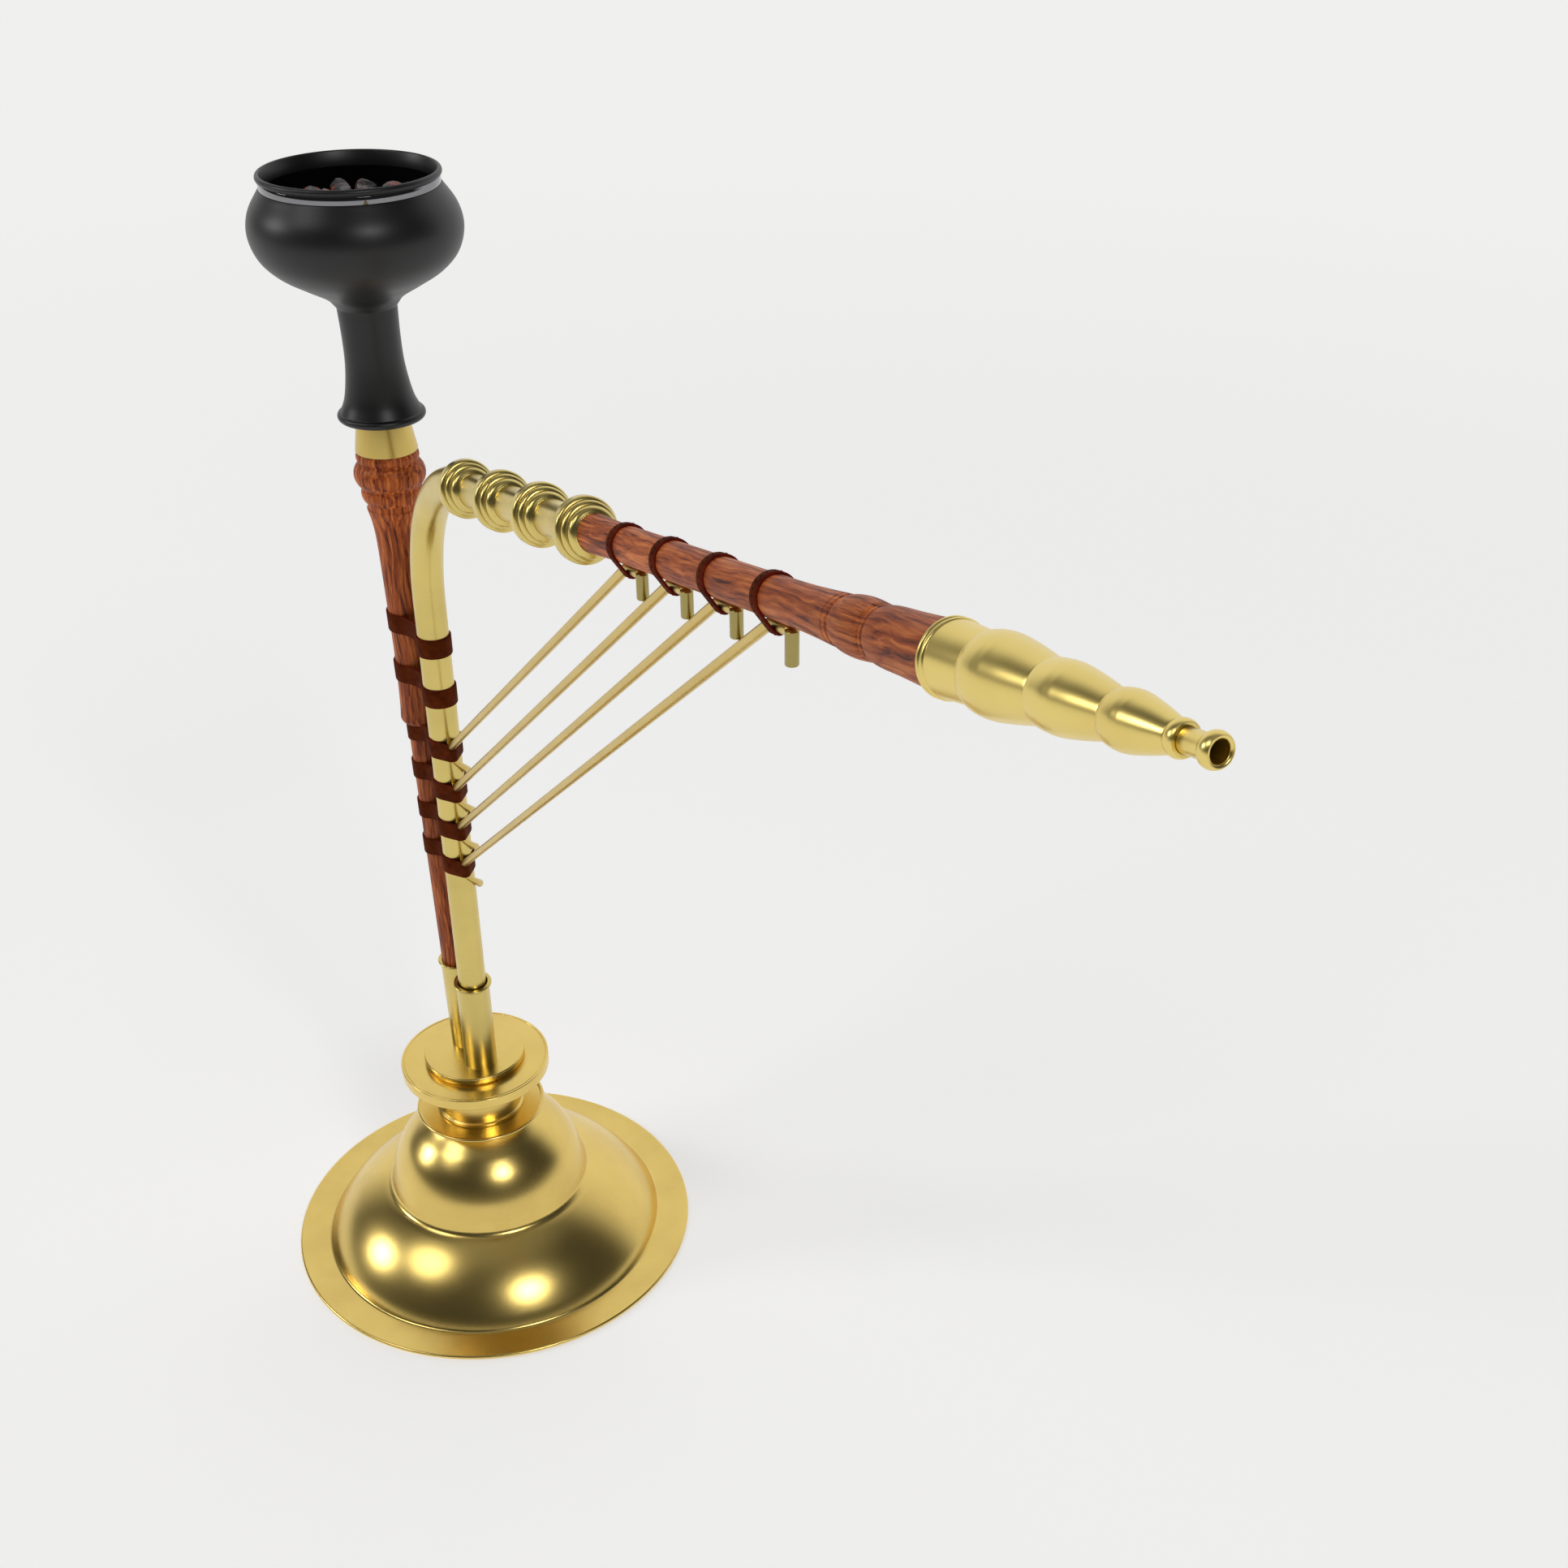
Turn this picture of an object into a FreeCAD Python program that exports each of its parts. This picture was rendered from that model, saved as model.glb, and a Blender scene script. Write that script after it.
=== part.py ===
"""Traditional water pipe: a brass water base, a lift-off head with a bored wood stem and a brass
gooseneck, a fired-clay coal bowl on a tapered seat, and a long turned mouth pipe held up by four
brass brace rods.

Millimetres, +Z up. The origin is the centre of the base on the floor, and +X is the side that
the mouth pipe points to. Everything is symmetric about the plane Y = 0.
"""
import FreeCAD, Part
import os
from math import cos, pi, radians, sin, tan
from FreeCAD import Vector

# ---- base ------------------------------------------------------------------------------------
FOOT_R = 130.0            # outer radius of the flat foot ring
FOOT_T = 2.5              # thickness of the foot ring
PLATE_R = 100.0           # base plate, let into the foot ring
PLATE_T = 2.0
SHEET = 1.6               # spun brass sheet of both domes
DOME_R = 109.6            # lower dome where it meets the foot ring
STEP_R = 63.8             # step between the two domes
STEP_Z = 43.5
NECK_R = 26.0             # neck tube, outside
NECK_BORE_R = 24.5
NECK_FLANGE_R = 40.5
NECK_FLANGE_Z = 103.0     # top of the neck flange's rolled edge
COLLAR_R = 46.0           # thick flange on top of the neck
COLLAR_Z = 132.0
CAP_Z = 139.1             # the head rests here

# ---- head: cap, sleeves and stem --------------------------------------------------------------
CAP_R = 31.1
CAP_TOP_Z = 144.3
SPIGOT_R = 22.0           # plug under the cap that carries the neck seal
SPIGOT_BORE_R = 20.3
SPIGOT_Z = 110.0
SEAL_CLEARANCE = 0.05     # the seal turns on the spigot and slides in the neck
STEM_X = -11.0            # the wood stem stands behind the centre
SLEEVE_R = 9.9
SLEEVE_BORE_R = 9.0
SLEEVE_Z = 208.0          # top of both sleeves
SLEEVE_LIP_R = 11.5
STEM_BORE_R = 4.0
DIP_R = 5.0
DIP_Z = 18.0              # lower end of the dip tube, under the water line
STEM_STEP_Z = 371.0       # joint between the lower and the upper wood stem
STEM_TOP_Z = 522.0
SEAT_R = 15.8             # brass seat cone, at the wood
SEAT_TOP_R = 10.0
SEAT_TOP_Z = 556.0
GASKET_Z = 541.0
GASKET_H = 12.0
GASKET_T = 1.6

# ---- bowl -------------------------------------------------------------------------------------
BOWL_FOOT_Z = 538.0
BOWL_R = 50.2
BOWL_WAIST_R = 14.1
BOWL_RIM_R = 42.6
BOWL_MOUTH_R = 38.8
BOWL_TOP_Z = 651.6
BAND_Z = 645.0            # polished band under the rim
BAND_H = 3.4
BAND_GROOVE_R = 40.2
SCREEN_Z = 615.2
SCREEN_R = 37.2
COAL_R = 6.4

# ---- gooseneck and mouth pipe -----------------------------------------------------------------
TUBE_R = 8.25
TUBE_BORE_R = 7.25
TUBE_X = 13.0             # where the leaning tube stands on the cap
TUBE_LEAN = 3.3           # degrees forward of vertical
BEND_R = 94.0
MOUTH_RISE = 12.7         # degrees above level
MOUTH_START = Vector(112.6, 0, 543.3)
RING_R = 12.8
RING_FIRST = 4.0          # distances from here on are measured along the mouth pipe's axis
RING_PITCH = 49.0
RING_COUNT = 4
NECKING_R = 7.5           # slim brass tube under the rings
NECKING_START = -6.3
WOOD_START = 162.0
WOOD_END = 415.0
WOOD_R = 6.8              # slim stretch of the mouth pipe, where the loops and rods hold it
MOUTH_BORE_R = 4.2
TENON_BORE_R = 5.2        # socket for the end of the brass tube
TENON_L = 20.0
TENON_R = 8.6
FERRULE_END = 433.0
BELLS = ((433.0, 461.0, 9.6, 11.2, 8.1), (461.0, 487.0, 8.1, 9.1, 6.0), (487.0, 508.0, 6.0, 7.35, 4.1))
TIP_COLLAR_END = 511.5
TIP_START = 494.0
TIP_END = 523.0
TIP_R = 3.1
TIP_BORE_R = 2.2
TIP_RIM_R = 4.4

# ---- leather and brace rods -------------------------------------------------------------------
LEATHER = 1.0
STRAP_H = 10.4
STRAP_Z = (433.0, 404.0, 373.0, 347.0, 322.0, 297.0)
LOOP_AT = (194.0, 233.5, 273.0, 312.5)
LOOP_W = 4.2
ROD_R = 1.7
ROD_BEND_R = 2.6
HOOK_OUT = 4.2            # the bent foot of a rod, under its strap
HOOK_DROP = 6.5
TAIL_R = 1.95
TAIL_L = (9.6, 9.6, 9.6, 11.4)   # the first three end just above the next rod
TAIL_AT = 10.0            # along the pipe from the loop
FIT = 0.05                # radial clearance of a push fit that comes apart

Z_AXIS = Vector(0, 0, 1)
LEAN = Vector(sin(radians(TUBE_LEAN)), 0, cos(radians(TUBE_LEAN)))
MOUTH = Vector(cos(radians(MOUTH_RISE)), 0, sin(radians(MOUTH_RISE)))


# ---- helpers ----------------------------------------------------------------------------------
def turned(start, *steps):
    """Turn an outline of (radius, height) points about Z. A point is a line to it, a pair of
    points is an arc through the first to the second, and a list of points is a smooth curve."""
    edges, last = [], Vector(start[0], 0, start[1])
    for step in steps + (start,):
        if isinstance(step, list):
            points = [last] + [Vector(r, 0, z) for r, z in step]
            curve = Part.BSplineCurve()
            curve.interpolate(points)
            edges.append(curve.toShape())
            last = points[-1]
        elif isinstance(step[0], tuple):
            middle, end = (Vector(r, 0, z) for r, z in step)
            edges.append(Part.Arc(last, middle, end).toShape())
            last = end
        else:
            end = Vector(step[0], 0, step[1])
            if end.distanceToPoint(last) > 1e-6:
                edges.append(Part.makeLine(last, end))
                last = end
    return Part.Face(Part.Wire(edges)).revolve(Vector(), Z_AXIS, 360)


def tube(r_out, r_in, z_low, z_high):
    """Plain tube on the Z axis."""
    outer = Part.makeCylinder(r_out, z_high - z_low, Vector(0, 0, z_low))
    return outer.cut(Part.makeCylinder(r_in, z_high - z_low, Vector(0, 0, z_low)))


def on_stem(shape):
    """Move a piece turned about Z to the stem's axis."""
    shape.translate(Vector(STEM_X, 0, 0))
    return shape


def on_tube(shape):
    """Lean a piece turned about Z over to the brass tube's axis, with heights kept."""
    shape.rotate(Vector(0, 0, CAP_TOP_Z), Vector(0, 1, 0), TUBE_LEAN)
    shape.translate(Vector(TUBE_X, 0, 0))
    return shape


def on_mouth(shape):
    """Lay a piece turned about Z along the mouth pipe: its Z is the distance, its X is down."""
    shape.rotate(Vector(), Vector(0, 1, 0), 90 - MOUTH_RISE)
    shape.translate(MOUTH_START)
    return shape


def mouth_point(distance, below=0.0):
    """A point on the mouth pipe's axis, or that far under it."""
    down = Vector(sin(radians(MOUTH_RISE)), 0, -cos(radians(MOUTH_RISE)))
    return MOUTH_START + MOUTH * distance + down * below


def tube_x(z):
    """Where the brass tube's axis is at a height."""
    return TUBE_X + (z - CAP_TOP_Z) * tan(radians(TUBE_LEAN))


def hull_prism(x1, r1, x2, r2, z_low, height):
    """A prism of two circles on the X axis and their common outside tangents."""
    lean = (r1 - r2) / (x2 - x1)
    up = (1 - lean * lean) ** 0.5
    corners = [Vector(x + r * lean, side * r * up, z_low)
               for x, r, side in ((x1, r1, 1), (x2, r2, 1), (x2, r2, -1), (x1, r1, -1), (x1, r1, 1))]
    web = Part.Face(Part.makePolygon(corners)).extrude(Vector(0, 0, height))
    ends = [Part.makeCylinder(r, height, Vector(x, 0, z_low)) for x, r in ((x1, r1), (x2, r2))]
    return web.fuse(ends).removeSplitter()


def band(circles, width, z_low):
    """A leather band pulled round circles (x, radius) that stand in a row along X."""
    rings = []
    for extra in (LEATHER, 0.0):
        prism = None
        for (x1, r1), (x2, r2) in zip(circles, circles[1:]):
            piece = hull_prism(x1, r1 + extra, x2, r2 + extra, z_low, width)
            prism = piece if prism is None else prism.fuse(piece).removeSplitter()
        rings.append(prism)
    return rings[0].cut(rings[1])


def bent_rod(points, radius, bend_r):
    """A round rod through points in the plane Y = 0, with its corners bent to one radius."""
    edges, start = [], points[0]
    for corner, after in zip(points[1:-1], points[2:]):
        before, ahead = (start - corner).normalize(), (after - corner).normalize()
        half = before.getAngle(ahead) / 2
        reach = bend_r / tan(half)
        middle = (before + ahead).normalize() * (bend_r / sin(half) - bend_r)
        edges.append(Part.makeLine(start, corner + before * reach))
        start = corner + ahead * reach
        edges.append(Part.Arc(corner + before * reach, corner + middle, start).toShape())
    edges.append(Part.makeLine(start, points[-1]))
    path = Part.Wire(edges)
    section = Part.Wire(Part.makeCircle(radius, points[0], points[1] - points[0]))
    return path.makePipeShell([section], True, False)


# ---- base -------------------------------------------------------------------------------------
def foot_ring():
    ring = tube(FOOT_R, PLATE_R, 0, FOOT_T)
    edge = [e for e in ring.Edges if e.Length > 2 * pi * FOOT_R - 1 and e.BoundBox.ZMin > FOOT_T / 2]
    return ring.makeFillet(1.0, edge)


def base_plate():
    return Part.makeCylinder(PLATE_R, PLATE_T)


def lower_dome():
    """A round-shouldered dome, rolled in at the step."""
    inner_r, inner_z = DOME_R - SHEET, STEP_Z - SHEET
    return turned((DOME_R, FOOT_T),
                  ((90.4, 27.1), (STEP_R, STEP_Z)), (STEP_R - 6, STEP_Z), (STEP_R - 6, inner_z),
                  (STEP_R, inner_z), ((89.3, 25.9), (inner_r, FOOT_T)))


def upper_dome():
    """The bell above it: a small rolled lip, a straight skirt and a round shoulder."""
    top = NECK_FLANGE_Z - 2.3
    return turned((STEP_R, STEP_Z), ((STEP_R + 0.9, STEP_Z + 0.9), (STEP_R, STEP_Z + 1.8)),
                  [(61.3, 55.0), (56.5, 67.0), (49.0, 78.5), (40.5, 88.0), (33.0, 95.0), (NECK_R + 1, top)],
                  (NECK_BORE_R, top), (NECK_BORE_R, top - SHEET),
                  [(32.0, 93.7), (39.4, 86.8), (47.7, 77.5), (55.0, 66.4), (59.7, 54.6),
                   (STEP_R - SHEET, STEP_Z)])


def neck_flange():
    """A dished disc with a rolled edge."""
    low = NECK_FLANGE_Z - 2.3
    edge = NECK_FLANGE_R
    return turned((NECK_BORE_R, low), (edge - 1.2, low), ((edge, low + 1.15), (edge - 1.2, low + 2.3)),
                  ((edge - 2.0, low + 1.9), (edge - 2.6, low + 1.4)), (NECK_BORE_R, low + 1.4))


def neck_tube():
    low = NECK_FLANGE_Z - 0.9
    return turned((NECK_BORE_R, low), (NECK_R + 1.5, low), (NECK_R + 1.5, low + 1.6),
                  (NECK_R, low + 2.6), (NECK_R, COLLAR_Z), (NECK_BORE_R, COLLAR_Z))


def top_flange():
    edge, soft = COLLAR_R, 0.5
    return turned((NECK_BORE_R, COLLAR_Z), (edge - soft, COLLAR_Z),
                  ((edge - 0.15, COLLAR_Z + 0.15), (edge, COLLAR_Z + soft)), (edge, CAP_Z - soft),
                  ((edge - 0.15, CAP_Z - 0.15), (edge - soft, CAP_Z)), (NECK_BORE_R, CAP_Z))


# ---- head -------------------------------------------------------------------------------------
def neck_seal():
    """Rubber sleeve between the spigot and the neck."""
    return tube(NECK_BORE_R - SEAL_CLEARANCE, SPIGOT_R + SEAL_CLEARANCE, SPIGOT_Z + 2.5, CAP_Z - 0.5)


def top_cap():
    soft = 1.0
    disc = turned((0, CAP_Z), (CAP_R - soft, CAP_Z), (CAP_R, CAP_Z + soft), (CAP_R, CAP_TOP_Z - soft),
                  ((CAP_R - 0.3, CAP_TOP_Z - 0.3), (CAP_R - soft, CAP_TOP_Z)), (0, CAP_TOP_Z))
    spigot = tube(SPIGOT_R, SPIGOT_BORE_R, SPIGOT_Z, CAP_Z)
    keeper = tube(NECK_BORE_R - 0.6, SPIGOT_BORE_R, SPIGOT_Z, SPIGOT_Z + 2.0)
    dip_hole = on_stem(Part.makeCylinder(DIP_R, 20, Vector(0, 0, CAP_Z - 5)))
    pipe_hole = on_tube(Part.makeCylinder(TUBE_BORE_R, 20, Vector(0, 0, CAP_Z - 5)))
    return disc.fuse([spigot, keeper]).removeSplitter().cut(dip_hole).cut(pipe_hole)


def sleeve(bore_r):
    """A socket tube with a thin lip round its mouth."""
    lip_z = SLEEVE_Z - 1.6
    return turned((bore_r, CAP_TOP_Z), (SLEEVE_R, CAP_TOP_Z), (SLEEVE_R, lip_z), (SLEEVE_LIP_R - 0.5, lip_z),
                  ((SLEEVE_LIP_R, lip_z + 0.8), (SLEEVE_LIP_R - 0.5, SLEEVE_Z)), (bore_r, SLEEVE_Z))


def pipe_sleeve():
    """The leaning sleeve: made a little long and cut level on the cap."""
    leaning = on_tube(sleeve(SLEEVE_BORE_R).fuse(tube(SLEEVE_R, SLEEVE_BORE_R, CAP_TOP_Z - 3, CAP_TOP_Z)))
    below = Part.makeBox(80, 80, 20, Vector(-40, -40, CAP_TOP_Z - 20))
    return leaning.cut(below).removeSplitter()


def pipe_packing():
    return on_tube(tube(SLEEVE_BORE_R, TUBE_R, CAP_TOP_Z + 6, SLEEVE_Z - 12))


def stem_packing():
    return on_stem(tube(SLEEVE_BORE_R, SLEEVE_BORE_R - 1.4, CAP_TOP_Z + 5, SLEEVE_Z - 8))


def dip_tube():
    return on_stem(tube(DIP_R, STEM_BORE_R, DIP_Z, CAP_TOP_Z + 20))


def lower_stem():
    """Wood, with a packed spigot below, a socket for the dip tube and a tenon on top."""
    low, body = CAP_TOP_Z + 1.5, SLEEVE_Z - 5
    wound_r, tenon_r = SLEEVE_BORE_R - 1.4, 6.0
    return on_stem(turned((DIP_R, low), (wound_r, low), (wound_r, body), (SLEEVE_BORE_R, body),
                          (SLEEVE_BORE_R, STEM_STEP_Z), (tenon_r, STEM_STEP_Z), (tenon_r, STEM_STEP_Z + 20),
                          (STEM_BORE_R, STEM_STEP_Z + 20), (STEM_BORE_R, CAP_TOP_Z + 20),
                          (DIP_R, CAP_TOP_Z + 20)))


def upper_stem():
    """Wood, thicker, waisted, with turned beads under the bowl seat."""
    low, top, tenon_r = STEM_STEP_Z, STEM_TOP_Z, 6.0
    return on_stem(turned(
        (tenon_r, low), (SLEEVE_BORE_R + 1.2, low), ((11.9, low + 1.2), (12.2, low + 3.2)),
        [(11.6, 383), (10.85, 410), (11.1, 443), (11.5, 474), (12.4, 485), (14.0, 492.5)],
        (13.4, 493.2), (13.5, 495.6), ((15.6, 499.0), (14.9, 503.4)), (15.3, 504.0),
        ((18.2, 510.0), (15.4, 516.0)), (14.9, 516.4), ((15.9, 519.2), (14.8, top)),
        (6.5, top), (6.5, top - 17), (STEM_BORE_R, top - 17), (STEM_BORE_R, low + 20), (tenon_r, low + 20)))


def seat_r(z):
    """Radius of the bowl seat's cone at a height."""
    return SEAT_R + (SEAT_TOP_R - SEAT_R) * (z - STEM_TOP_Z) / (SEAT_TOP_Z - STEM_TOP_Z)


def bowl_seat():
    return on_stem(turned((STEM_BORE_R, STEM_TOP_Z - 17), (6.5, STEM_TOP_Z - 17), (6.5, STEM_TOP_Z),
                          (SEAT_R, STEM_TOP_Z), (SEAT_TOP_R, SEAT_TOP_Z), (STEM_BORE_R, SEAT_TOP_Z)))


def bowl_gasket():
    low, high, gap = GASKET_Z, GASKET_Z + GASKET_H, 0.1
    return on_stem(turned((seat_r(low) + gap, low), (seat_r(low) + gap + GASKET_T, low),
                          (seat_r(high) + gap + GASKET_T, high), (seat_r(high) + gap, high)))


def gooseneck():
    """One brass tube: up from the cap, round the bend, then slimmer under the four rings."""
    corner_z = (MOUTH_START.z + (TUBE_X - MOUTH_START.x - CAP_TOP_Z * tan(radians(TUBE_LEAN)))
                * tan(radians(MOUTH_RISE))) / (1 - tan(radians(TUBE_LEAN)) * tan(radians(MOUTH_RISE)))
    corner = Vector(tube_x(corner_z), 0, corner_z)
    turn = 90 - TUBE_LEAN - MOUTH_RISE
    reach = BEND_R * tan(radians(turn / 2))
    foot = Vector(tube_x(CAP_TOP_Z), 0, CAP_TOP_Z)
    bend_from, bend_to = corner - LEAN * reach, corner + MOUTH * reach
    centre = bend_from + Vector(cos(radians(TUBE_LEAN)), 0, -sin(radians(TUBE_LEAN))) * BEND_R

    neck_from = NECKING_START - 1.2

    def run(radius):
        disc = Part.Face(Part.Wire(Part.makeCircle(radius, bend_from, LEAN)))
        riser = disc.extrude(LEAN * -((bend_from - foot).Length + 1.0))
        elbow = disc.revolve(centre, Vector(0, 1, 0), turn)
        level = Part.makeCylinder(radius, (mouth_point(neck_from) - bend_to).Length, bend_to, MOUTH)
        return riser.fuse([elbow, level])

    bent = run(TUBE_R).cut(run(TUBE_BORE_R))
    floor = Part.makeBox(80, 80, 20, Vector(-40, -40, CAP_TOP_Z - 20))
    low, high, wall = NECKING_START, WOOD_START, TUBE_R - TUBE_BORE_R
    slim = on_mouth(turned((TUBE_BORE_R, neck_from), (TUBE_R, neck_from), (TUBE_R, low), (NECKING_R, low),
                           (NECKING_R, high), (TENON_BORE_R, high), (TENON_BORE_R, high + TENON_L),
                           (MOUTH_BORE_R, high + TENON_L), (MOUTH_BORE_R, high - 4),
                           (NECKING_R - wall, high - 8), (NECKING_R - wall, low)))
    return bent.fuse(slim).removeSplitter().cut(floor)


def ring(number):
    """A turned ring: a fat bead with two smaller steps and a lip on each side."""
    at = RING_FIRST + number * RING_PITCH
    half = [(8.1, 10.2), ((8.6, 9.4), (8.1, 8.6)), (8.3, 7.9), ((9.9, 7.0), (9.3, 5.6)), (9.8, 5.4),
            ((11.3, 4.3), (11.0, 3.1)), (11.6, 3.0)]
    flip = [(11.6, -3.0), (11.0, -3.1), ((11.3, -4.3), (9.8, -5.4)), (9.3, -5.6),
            ((9.9, -7.0), (8.3, -7.9)), (8.1, -8.6), ((8.6, -9.4), (8.1, -10.2))]
    shape = turned((NECKING_R, 10.2), *half, ((RING_R, 0), flip[0]), *flip[1:], (NECKING_R, -10.2))
    shape.translate(Vector(0, 0, at))
    return on_mouth(shape)


def mouth_pipe():
    """Bored wood, slim behind and thicker in front, with one turned bead before the ferrule."""
    low, high = WOOD_START, WOOD_END
    return on_mouth(turned(
        (TENON_BORE_R, low), (WOOD_R + 0.6, low), [(WOOD_R + 0.35, low + 10), (WOOD_R, low + 23)],
        (WOOD_R, 322.0),
        [(6.95, 336), (7.35, 348), (7.8, 359)],
        (7.4, 360.6), [(8.35, 364), (8.8, 371.5), (8.3, 379)], (7.8, 381.6),
        [(8.5, 384), (8.9, 396), (9.8, high)],
        (TENON_R, high), (TENON_R, FERRULE_END - 2), (MOUTH_BORE_R, FERRULE_END - 2),
        (MOUTH_BORE_R, low + TENON_L), (TENON_BORE_R, low + TENON_L)))


def ferrule():
    low, high = WOOD_END, FERRULE_END
    inner = TENON_R + FIT
    return on_mouth(turned((inner, low), (10.5, low), ((10.95, low + 0.7), (10.5, low + 1.4)),
                           (10.3, low + 1.7), ((10.9, low + 2.6), (10.4, low + 3.5)), (9.6, high),
                           (inner - 0.6, high), (inner - 0.6, high - 1.6), (inner, high - 1.6)))


def bell(low, high, r_in, r_max, r_out):
    """One spun shell of the mouthpiece: a round shoulder that tapers to the next one."""
    length, wall = high - low, 1.0
    slim = max(r_out - wall, TIP_R + FIT)
    shoulder = (r_in + 0.8 * (r_max - r_in), low + 0.14 * length)
    skirt = (0.45 * r_max + 0.55 * r_out, low + 0.74 * length)
    return on_mouth(turned(
        (r_in - wall, low), (r_in, low), [shoulder, (r_max, low + 0.33 * length), skirt, (r_out, high)],
        (slim, high), (slim, high - 0.12 * length), (r_max - 1.6 * wall, low + 0.36 * length),
        (r_in - wall, low + 0.1 * length)))


def tip_collar():
    low, high = BELLS[-1][1], TIP_COLLAR_END
    inner = TIP_R + FIT
    return on_mouth(turned((inner, low), (4.1, low), ((4.6, (low + high) / 2), (4.1, high)), (inner, high)))


def mouth_tip():
    """A slim tube that pushes into the collar, with a rounded and flared lip."""
    lip = TIP_END - 3.6
    return on_mouth(turned((TIP_BORE_R, TIP_START), (TIP_R, TIP_START), (TIP_R, lip - 1.2),
                           ((3.5, lip - 0.4), (4.0, lip)), ((TIP_RIM_R, lip + 1.6), (3.7, TIP_END)),
                           ((3.0, TIP_END - 0.2), (2.75, TIP_END - 1.2)), (TIP_BORE_R, TIP_END - 4)))


# ---- bowl and fire ----------------------------------------------------------------------------
def chillum():
    """The fired-clay bowl: a flared foot over the seat, a waisted neck and a round bowl."""
    foot, socket = BOWL_FOOT_Z, GASKET_T + 0.4
    lip = BAND_Z + BAND_H
    return on_stem(turned(
        (16.4, foot), (20.3, foot), ((21.8, foot + 2.0), (20.0, foot + 3.8)),
        [(17.4, 547.5), (15.5, 556), (14.3, 566), (BOWL_WAIST_R, 578), (14.5, 591.5)],
        [(18.8, 596.3), (29.5, 602.4), (40.2, 608.8), (47.2, 616.2), (BOWL_R, 626), (48.4, 635.2),
         (41.9, BAND_Z)],
        (BAND_GROOVE_R, BAND_Z), (BAND_GROOVE_R, lip), (41.4, lip),
        ((BOWL_RIM_R, lip + 1.5), (41.2, BOWL_TOP_Z)),
        ((39.5, BOWL_TOP_Z - 0.3), (BOWL_MOUTH_R, BOWL_TOP_Z - 1.6)),
        (BOWL_MOUTH_R, 645), [(42.6, 637.5), (45.4, 629), (43.2, 621), (38.2, SCREEN_Z)],
        (33.0, SCREEN_Z), [(24, 606.0), (13.5, 599.5), (8.5, 594)], (8.5, 562), (11.2, SEAT_TOP_Z + 1),
        (seat_r(GASKET_Z + GASKET_H) + socket, GASKET_Z + GASKET_H),
        (seat_r(GASKET_Z) + socket, GASKET_Z)))


def rim_band():
    outer, high = BAND_GROOVE_R + 1.4, BAND_Z + BAND_H
    return on_stem(turned((BAND_GROOVE_R, BAND_Z), (outer, BAND_Z), ((outer + 0.1, BAND_Z + BAND_H / 2),
                          (outer - 0.2, high)), (BAND_GROOVE_R, high)))


def coal_screen():
    """A loose perforated disc on the ledge inside the bowl."""
    disc = Part.makeCylinder(SCREEN_R, 1.0, Vector(0, 0, SCREEN_Z + 0.1))
    holes = []
    for circle_r, count in ((0, 1), (10, 6), (20, 12), (29.5, 18)):
        for i in range(count):
            angle = 2 * pi * i / count
            place = Vector(circle_r * cos(angle), circle_r * sin(angle), SCREEN_Z - 1)
            holes.append(Part.makeCylinder(2.0, 4, place))
    return on_stem(disc.cut(holes))


def coal(centre, radius, seed):
    """One lump: an icosahedron with uneven corners."""
    golden = (1 + 5 ** 0.5) / 2
    corners = [(0, a, b * golden) for a in (-1, 1) for b in (-1, 1)]
    corners = corners + [(y, z, x) for x, y, z in corners] + [(z, x, y) for x, y, z in corners]
    points = []
    for i, corner in enumerate(corners):
        uneven = 0.9 + 0.1 * sin(seed * 2.7 + i * 4.1)
        points.append(centre + Vector(*corner).normalize() * radius * uneven)
    edge = 2.0
    faces = []
    for i, a in enumerate(corners):
        for j in range(i + 1, 12):
            for k in range(j + 1, 12):
                trio = [Vector(*corners[n]) for n in (i, j, k)]
                sides = [trio[0].distanceToPoint(trio[1]), trio[1].distanceToPoint(trio[2]),
                         trio[2].distanceToPoint(trio[0])]
                if max(sides) < edge * 1.01:
                    loop = [points[i], points[j], points[k], points[i]]
                    faces.append(Part.Face(Part.makePolygon(loop)))
    solid = Part.Solid(Part.makeShell(faces))
    return solid if solid.Volume > 0 else solid.reversed()


def coals():
    """Loose charcoal in two layers on the screen."""
    lumps, low = [], SCREEN_Z + 1.1 + COAL_R
    layers = (((0, 1), (13.3, 6), (26.6, 13)), ((7.6, 3), (21.0, 9)))
    for layer, rows in enumerate(layers):
        for circle_r, count in rows:
            for i in range(count):
                angle = 2 * pi * (i + 0.5 * layer) / count
                height = low + layer * 11.5
                place = Vector(circle_r * cos(angle), circle_r * sin(angle), height)
                lumps.append(coal(place, COAL_R, len(lumps)))
    return on_stem(Part.makeCompound(lumps))


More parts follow.
